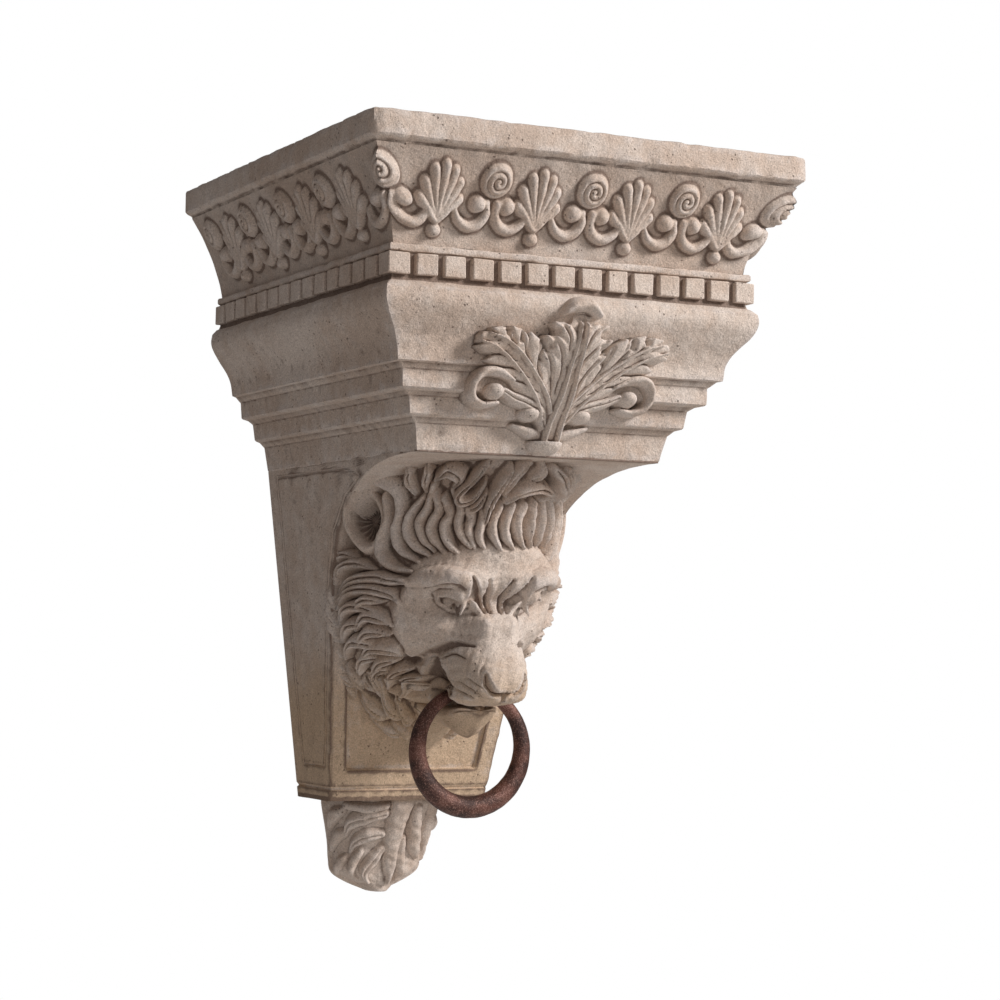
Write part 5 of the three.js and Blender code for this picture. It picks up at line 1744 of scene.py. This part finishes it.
    def dress(self, finish: bpy.types.Material) -> None:
        """Makes the head, the ears and the jaw and gives them their finish.

        Args:
            finish: The material.
        """
        place_piece(self.surface().piece("lion_face_and_mane", 80.0), finish, "bracket")
        ears = Surface.joined([self.ear(-1), self.ear(1)])
        place_piece(ears.piece("lion_ears", 80.0), finish, "bracket")
        place_piece(self.jaw().piece("lion_lower_jaw", 80.0), finish, "bracket")


@dataclass
class LeafDrop:
    """Carved leaf that hangs below the pier and narrows to a blunt tip."""

    pier: Pier
    height: float = 78.0
    width: float = 97.0
    depth: float = 52.0
    keys: tuple = ((0, 0.16, 0.3), (0.1, 0.55, 0.4), (0.2, 0.8, 0.46), (0.34, 0.86, 0.54),
                   (0.5, 0.88, 0.66), (0.66, 0.92, 0.8), (0.82, 0.97, 0.95), (0.93, 1, 1.08), (1.03, 1, 1.12))

    def carving(self, turn: Array, up: Array) -> Array:
        """Height in millimetres of the leaf's lobes over the base, over (turn / 90 degrees, share up).

        A smooth spine between two deep grooves, three hanging lobes on its right, and curled lobes
        on its left.

        Args:
            turn: Place round the drop, from -1 at the left to 1.
            up: Share of its height.

        Returns:
            The height at each place.
        """
        spine = Stroke([(0.0, 1.0), (0.0, 0.62), (0.03, 0.3), (0.05, 0.1)],
                       (0.10, 0.085, 0.06, 0.03), 4.2, 1, 0.6, (0.9, 0.6))
        shoulder = Stroke([(-0.14, 0.93), (-0.34, 0.9), (-0.6, 0.93)],
                          (0.04, 0.05, 0.05), 5.0, 1, 0.5, (0.7, 0.7))
        lobes = (
            ([(0.17, 0.86), (0.22, 0.66), (0.30, 0.5), (0.44, 0.38)], (0.07, 0.10, 0.11, 0.06), 5.0, 1),
            ([(0.10, 0.56), (0.12, 0.36), (0.2, 0.16)], (0.04, 0.075, 0.07), 4.2, 1),
            ([(0.45, 0.95), (0.52, 0.8), (0.5, 0.6), (0.62, 0.45)], (0.10, 0.12, 0.10, 0.05), 5.0, 1),
            ([(0.8, 0.95), (0.85, 0.8), (0.8, 0.55), (0.84, 0.35)], (0.12, 0.13, 0.12, 0.06), 5.0, 2),
            ([(-0.13, 0.84), (-0.34, 0.8), (-0.52, 0.74), (-0.6, 0.62)], (0.05, 0.09, 0.085, 0.04), 5.6, 2),
            ([(-0.12, 0.62), (-0.28, 0.6), (-0.44, 0.54), (-0.5, 0.44)], (0.05, 0.08, 0.07, 0.035), 5.0, 2),
            ([(-0.08, 0.46), (-0.16, 0.34), (-0.26, 0.22), (-0.3, 0.1)], (0.05, 0.085, 0.075, 0.03), 5.0, 2),
            ([(-0.34, 0.42), (-0.44, 0.3), (-0.5, 0.16)], (0.05, 0.08, 0.05), 4.2, 1),
            ([(-0.66, 0.86), (-0.8, 0.8), (-0.92, 0.68)], (0.05, 0.09, 0.05), 4.6, 1),
            ([(-0.62, 0.62), (-0.76, 0.58), (-0.9, 0.46)], (0.05, 0.08, 0.05), 4.4, 1),
            ([(-0.58, 0.36), (-0.7, 0.3), (-0.86, 0.2)], (0.05, 0.08, 0.04), 3.8, 1),
        )
        height = highest(turn, up, [spine, shoulder, *(Stroke(*lobe) for lobe in lobes)])
        boss = button(turn, up, 0.66, 0.72, 0.10, 0.11, 6.5)
        return 1.3 * np.maximum(height, boss) - 3.0

    def surface(self) -> Surface:
        """The drop: half round sections that narrow downward, moved out by the carving.

        Returns:
            The drop.
        """
        turn = np.linspace(-1, 1, 230)[None, :]
        up = np.linspace(0.0, 1.03, 150)[:, None]
        values = along_keys(self.keys, up + 0 * turn)
        angle = turn * math.pi / 2
        half, deep = values[..., 0] * self.width / 2, values[..., 1] * self.depth
        x = half * np.sign(angle) * np.abs(np.sin(angle)) ** 0.8
        y = -deep * np.cos(angle)
        z = self.height * (up - 1) - self.pier.height + 0 * turn
        grid = np.stack([x, y, z], axis=-1)
        normal = normals_of(blurred(grid, 3))
        if float(normal[..., 1].sum()) > 0:
            normal = -normal
        normal[..., 2] = np.minimum(normal[..., 2], 0.2)
        height = blurred(self.carving(turn + 0 * up, up + 0 * turn), 1) + 0.5 * uneven(grid, 9.0, 71)
        free = eased(0.0, 0.05, up) * eased(1.0, 0.93, np.abs(turn))
        grid = grid + normal * (height * free)[..., None]
        grid[..., 1] = np.minimum(grid[..., 1], 0)
        tip = grid[:1].copy()
        tip[..., 0] *= 0.02
        tip[..., 1] *= 0.5
        back = grid[:, [-1, 0]]
        closing = mixed(back[:, :1], back[:, 1:], np.linspace(0, 1, 6)[None, 1:-1, None])
        whole = np.concatenate([grid, closing], axis=1)
        ends = np.concatenate([tip, np.repeat(tip[:, -1:], closing.shape[1], axis=1)], axis=1)
        return Surface.of_grid(np.concatenate([ends, whole]), None, True, 8, 1.0)

    def dress(self, finish: bpy.types.Material) -> None:
        """Makes the drop and gives it its finish."""
        place_piece(self.surface().piece("leaf_drop", 80.0), finish, "bracket")


# The studio


@dataclass(frozen=True)
class Lamp:
    """A square soft light: its name, place, aim, size in metres, power in watts and colour."""

    name: str
    place: tuple
    aim: tuple
    size: float
    power: float
    colour: tuple


@dataclass
class Studio:
    """Camera at the photograph's viewing angle, soft lights and a plain pale floor."""

    target: tuple = (0.109822, 0.0, -0.014493)
    distance: float = 2.075062
    azimuth: float = -0.47237
    elevation: float = -0.05594
    roll: float = 0.0130
    lens: float = 87.53
    shift: tuple = (0.0027, -0.0003)
    floor_height: float = -0.95
    floor_size: float = 3.0
    key: Lamp = Lamp("key", (1.7, -1.9, 1.22), (0.0, -0.2, 0.0), 0.75, 76.0, (1.0, 0.965, 0.945))
    fill: Lamp = Lamp("fill", (-0.6, -2.7, 0.1), (0.0, -0.2, -0.05), 1.6, 7.0, (1.0, 0.95, 0.92))
    air_colour: tuple = (1.0, 0.92, 0.89, 1.0)
    air_strength: float = 0.17

    def camera(self) -> None:
        """Adds the camera: it looks at the target from its azimuth and elevation, turned by its roll."""
        back = np.array([math.sin(self.azimuth) * math.cos(self.elevation),
                         -math.cos(self.azimuth) * math.cos(self.elevation), math.sin(self.elevation)])
        right = np.cross(-back, [0, 0, 1])
        right = right / np.linalg.norm(right)
        up = np.cross(right, -back)
        turned_right = math.cos(self.roll) * right + math.sin(self.roll) * up
        turned_up = -math.sin(self.roll) * right + math.cos(self.roll) * up
        place = np.array(self.target) + back * self.distance
        data = bpy.data.cameras.new("photo_camera")
        data.lens = self.lens
        data.sensor_width = 36.0
        data.shift_x, data.shift_y = self.shift
        camera = bpy.data.objects.new("photo_camera", data)
        columns = np.stack([turned_right, turned_up, back, place], axis=1)
        camera.matrix_world = Matrix([*columns.tolist(), [0, 0, 0, 1]])
        bpy.context.scene.collection.objects.link(camera)
        bpy.context.scene.camera = camera

    def light(self, lamp: Lamp) -> None:
        """Adds one lamp, facing its aim.

        Args:
            lamp: The lamp.
        """
        data = bpy.data.lights.new(lamp.name, "AREA")
        data.size = lamp.size
        data.energy = lamp.power
        data.color = lamp.colour
        back = np.array(lamp.place) - np.array(lamp.aim)
        back = back / np.linalg.norm(back)
        right = np.cross([0, 0, 1], back)
        right = right / np.linalg.norm(right)
        columns = np.stack([right, np.cross(back, right), back, np.array(lamp.place)], axis=1)
        made = bpy.data.objects.new(lamp.name, data)
        made.matrix_world = Matrix([*columns.tolist(), [0, 0, 0, 1]])
        bpy.context.scene.collection.objects.link(made)

    def air(self) -> None:
        """Sets the surrounding light: warm and dim on the object, plain white where the camera sees it."""
        world = bpy.data.worlds.new("studio_air")
        world.use_nodes = True
        tree = world.node_tree
        tree.nodes["Background"].inputs["Color"].default_value = self.air_colour
        tree.nodes["Background"].inputs["Strength"].default_value = self.air_strength
        seen = tree.nodes.new("ShaderNodeBackground")
        seen.inputs["Color"].default_value = (1.0, 1.0, 1.0, 1.0)
        seen.inputs["Strength"].default_value = 1.0
        path = tree.nodes.new("ShaderNodeLightPath")
        mix = tree.nodes.new("ShaderNodeMixShader")
        tree.links.new(path.outputs["Is Camera Ray"], mix.inputs[0])
        tree.links.new(tree.nodes["Background"].outputs[0], mix.inputs[1])
        tree.links.new(seen.outputs[0], mix.inputs[2])
        tree.links.new(mix.outputs[0], tree.nodes["World Output"].inputs["Surface"])
        bpy.context.scene.world = world

    def dress(self, floor_finish: bpy.types.Material) -> None:
        """Adds the camera, the lights, the surrounding light and the floor.

        Args:
            floor_finish: Material of the floor.
        """
        self.camera()
        self.light(self.key)
        self.light(self.fill)
        self.air()
        share = np.linspace(-0.5, 0.5, 3) * self.floor_size / MM
        grid = np.stack(np.broadcast_arrays(share[None, :], share[:, None], self.floor_height / MM), axis=-1)
        quads = np.array([(0, 1, 4, 3), (1, 2, 5, 4), (3, 4, 7, 6), (4, 5, 8, 7)])
        floor = Surface(grid.reshape(-1, 3), quads, np.zeros(9)).piece("studio_floor")
        floor.data.materials.append(floor_finish)


def main() -> None:
    """Builds the bracket from the shelf down, then the studio."""
    logging.basicConfig(level=logging.INFO, format="%(name)s: %(message)s")
    stone = WeatheredStone().material("weathered_stone")
    iron = RustedIron().material("rusted_iron")
    shelf = Shelf()
    pier = Pier(shelf)
    ring = Ring()
    for part in (shelf, Frieze(shelf), LeafSpray(shelf), pier, LionHead(pier, ring), LeafDrop(pier)):
        part.dress(stone)
    ring.dress(iron)
    Studio().dress(PaleFloor().material("pale_floor"))
    bpy.context.scene.view_settings.view_transform = "Standard"


if __name__ == "__main__":
    main()
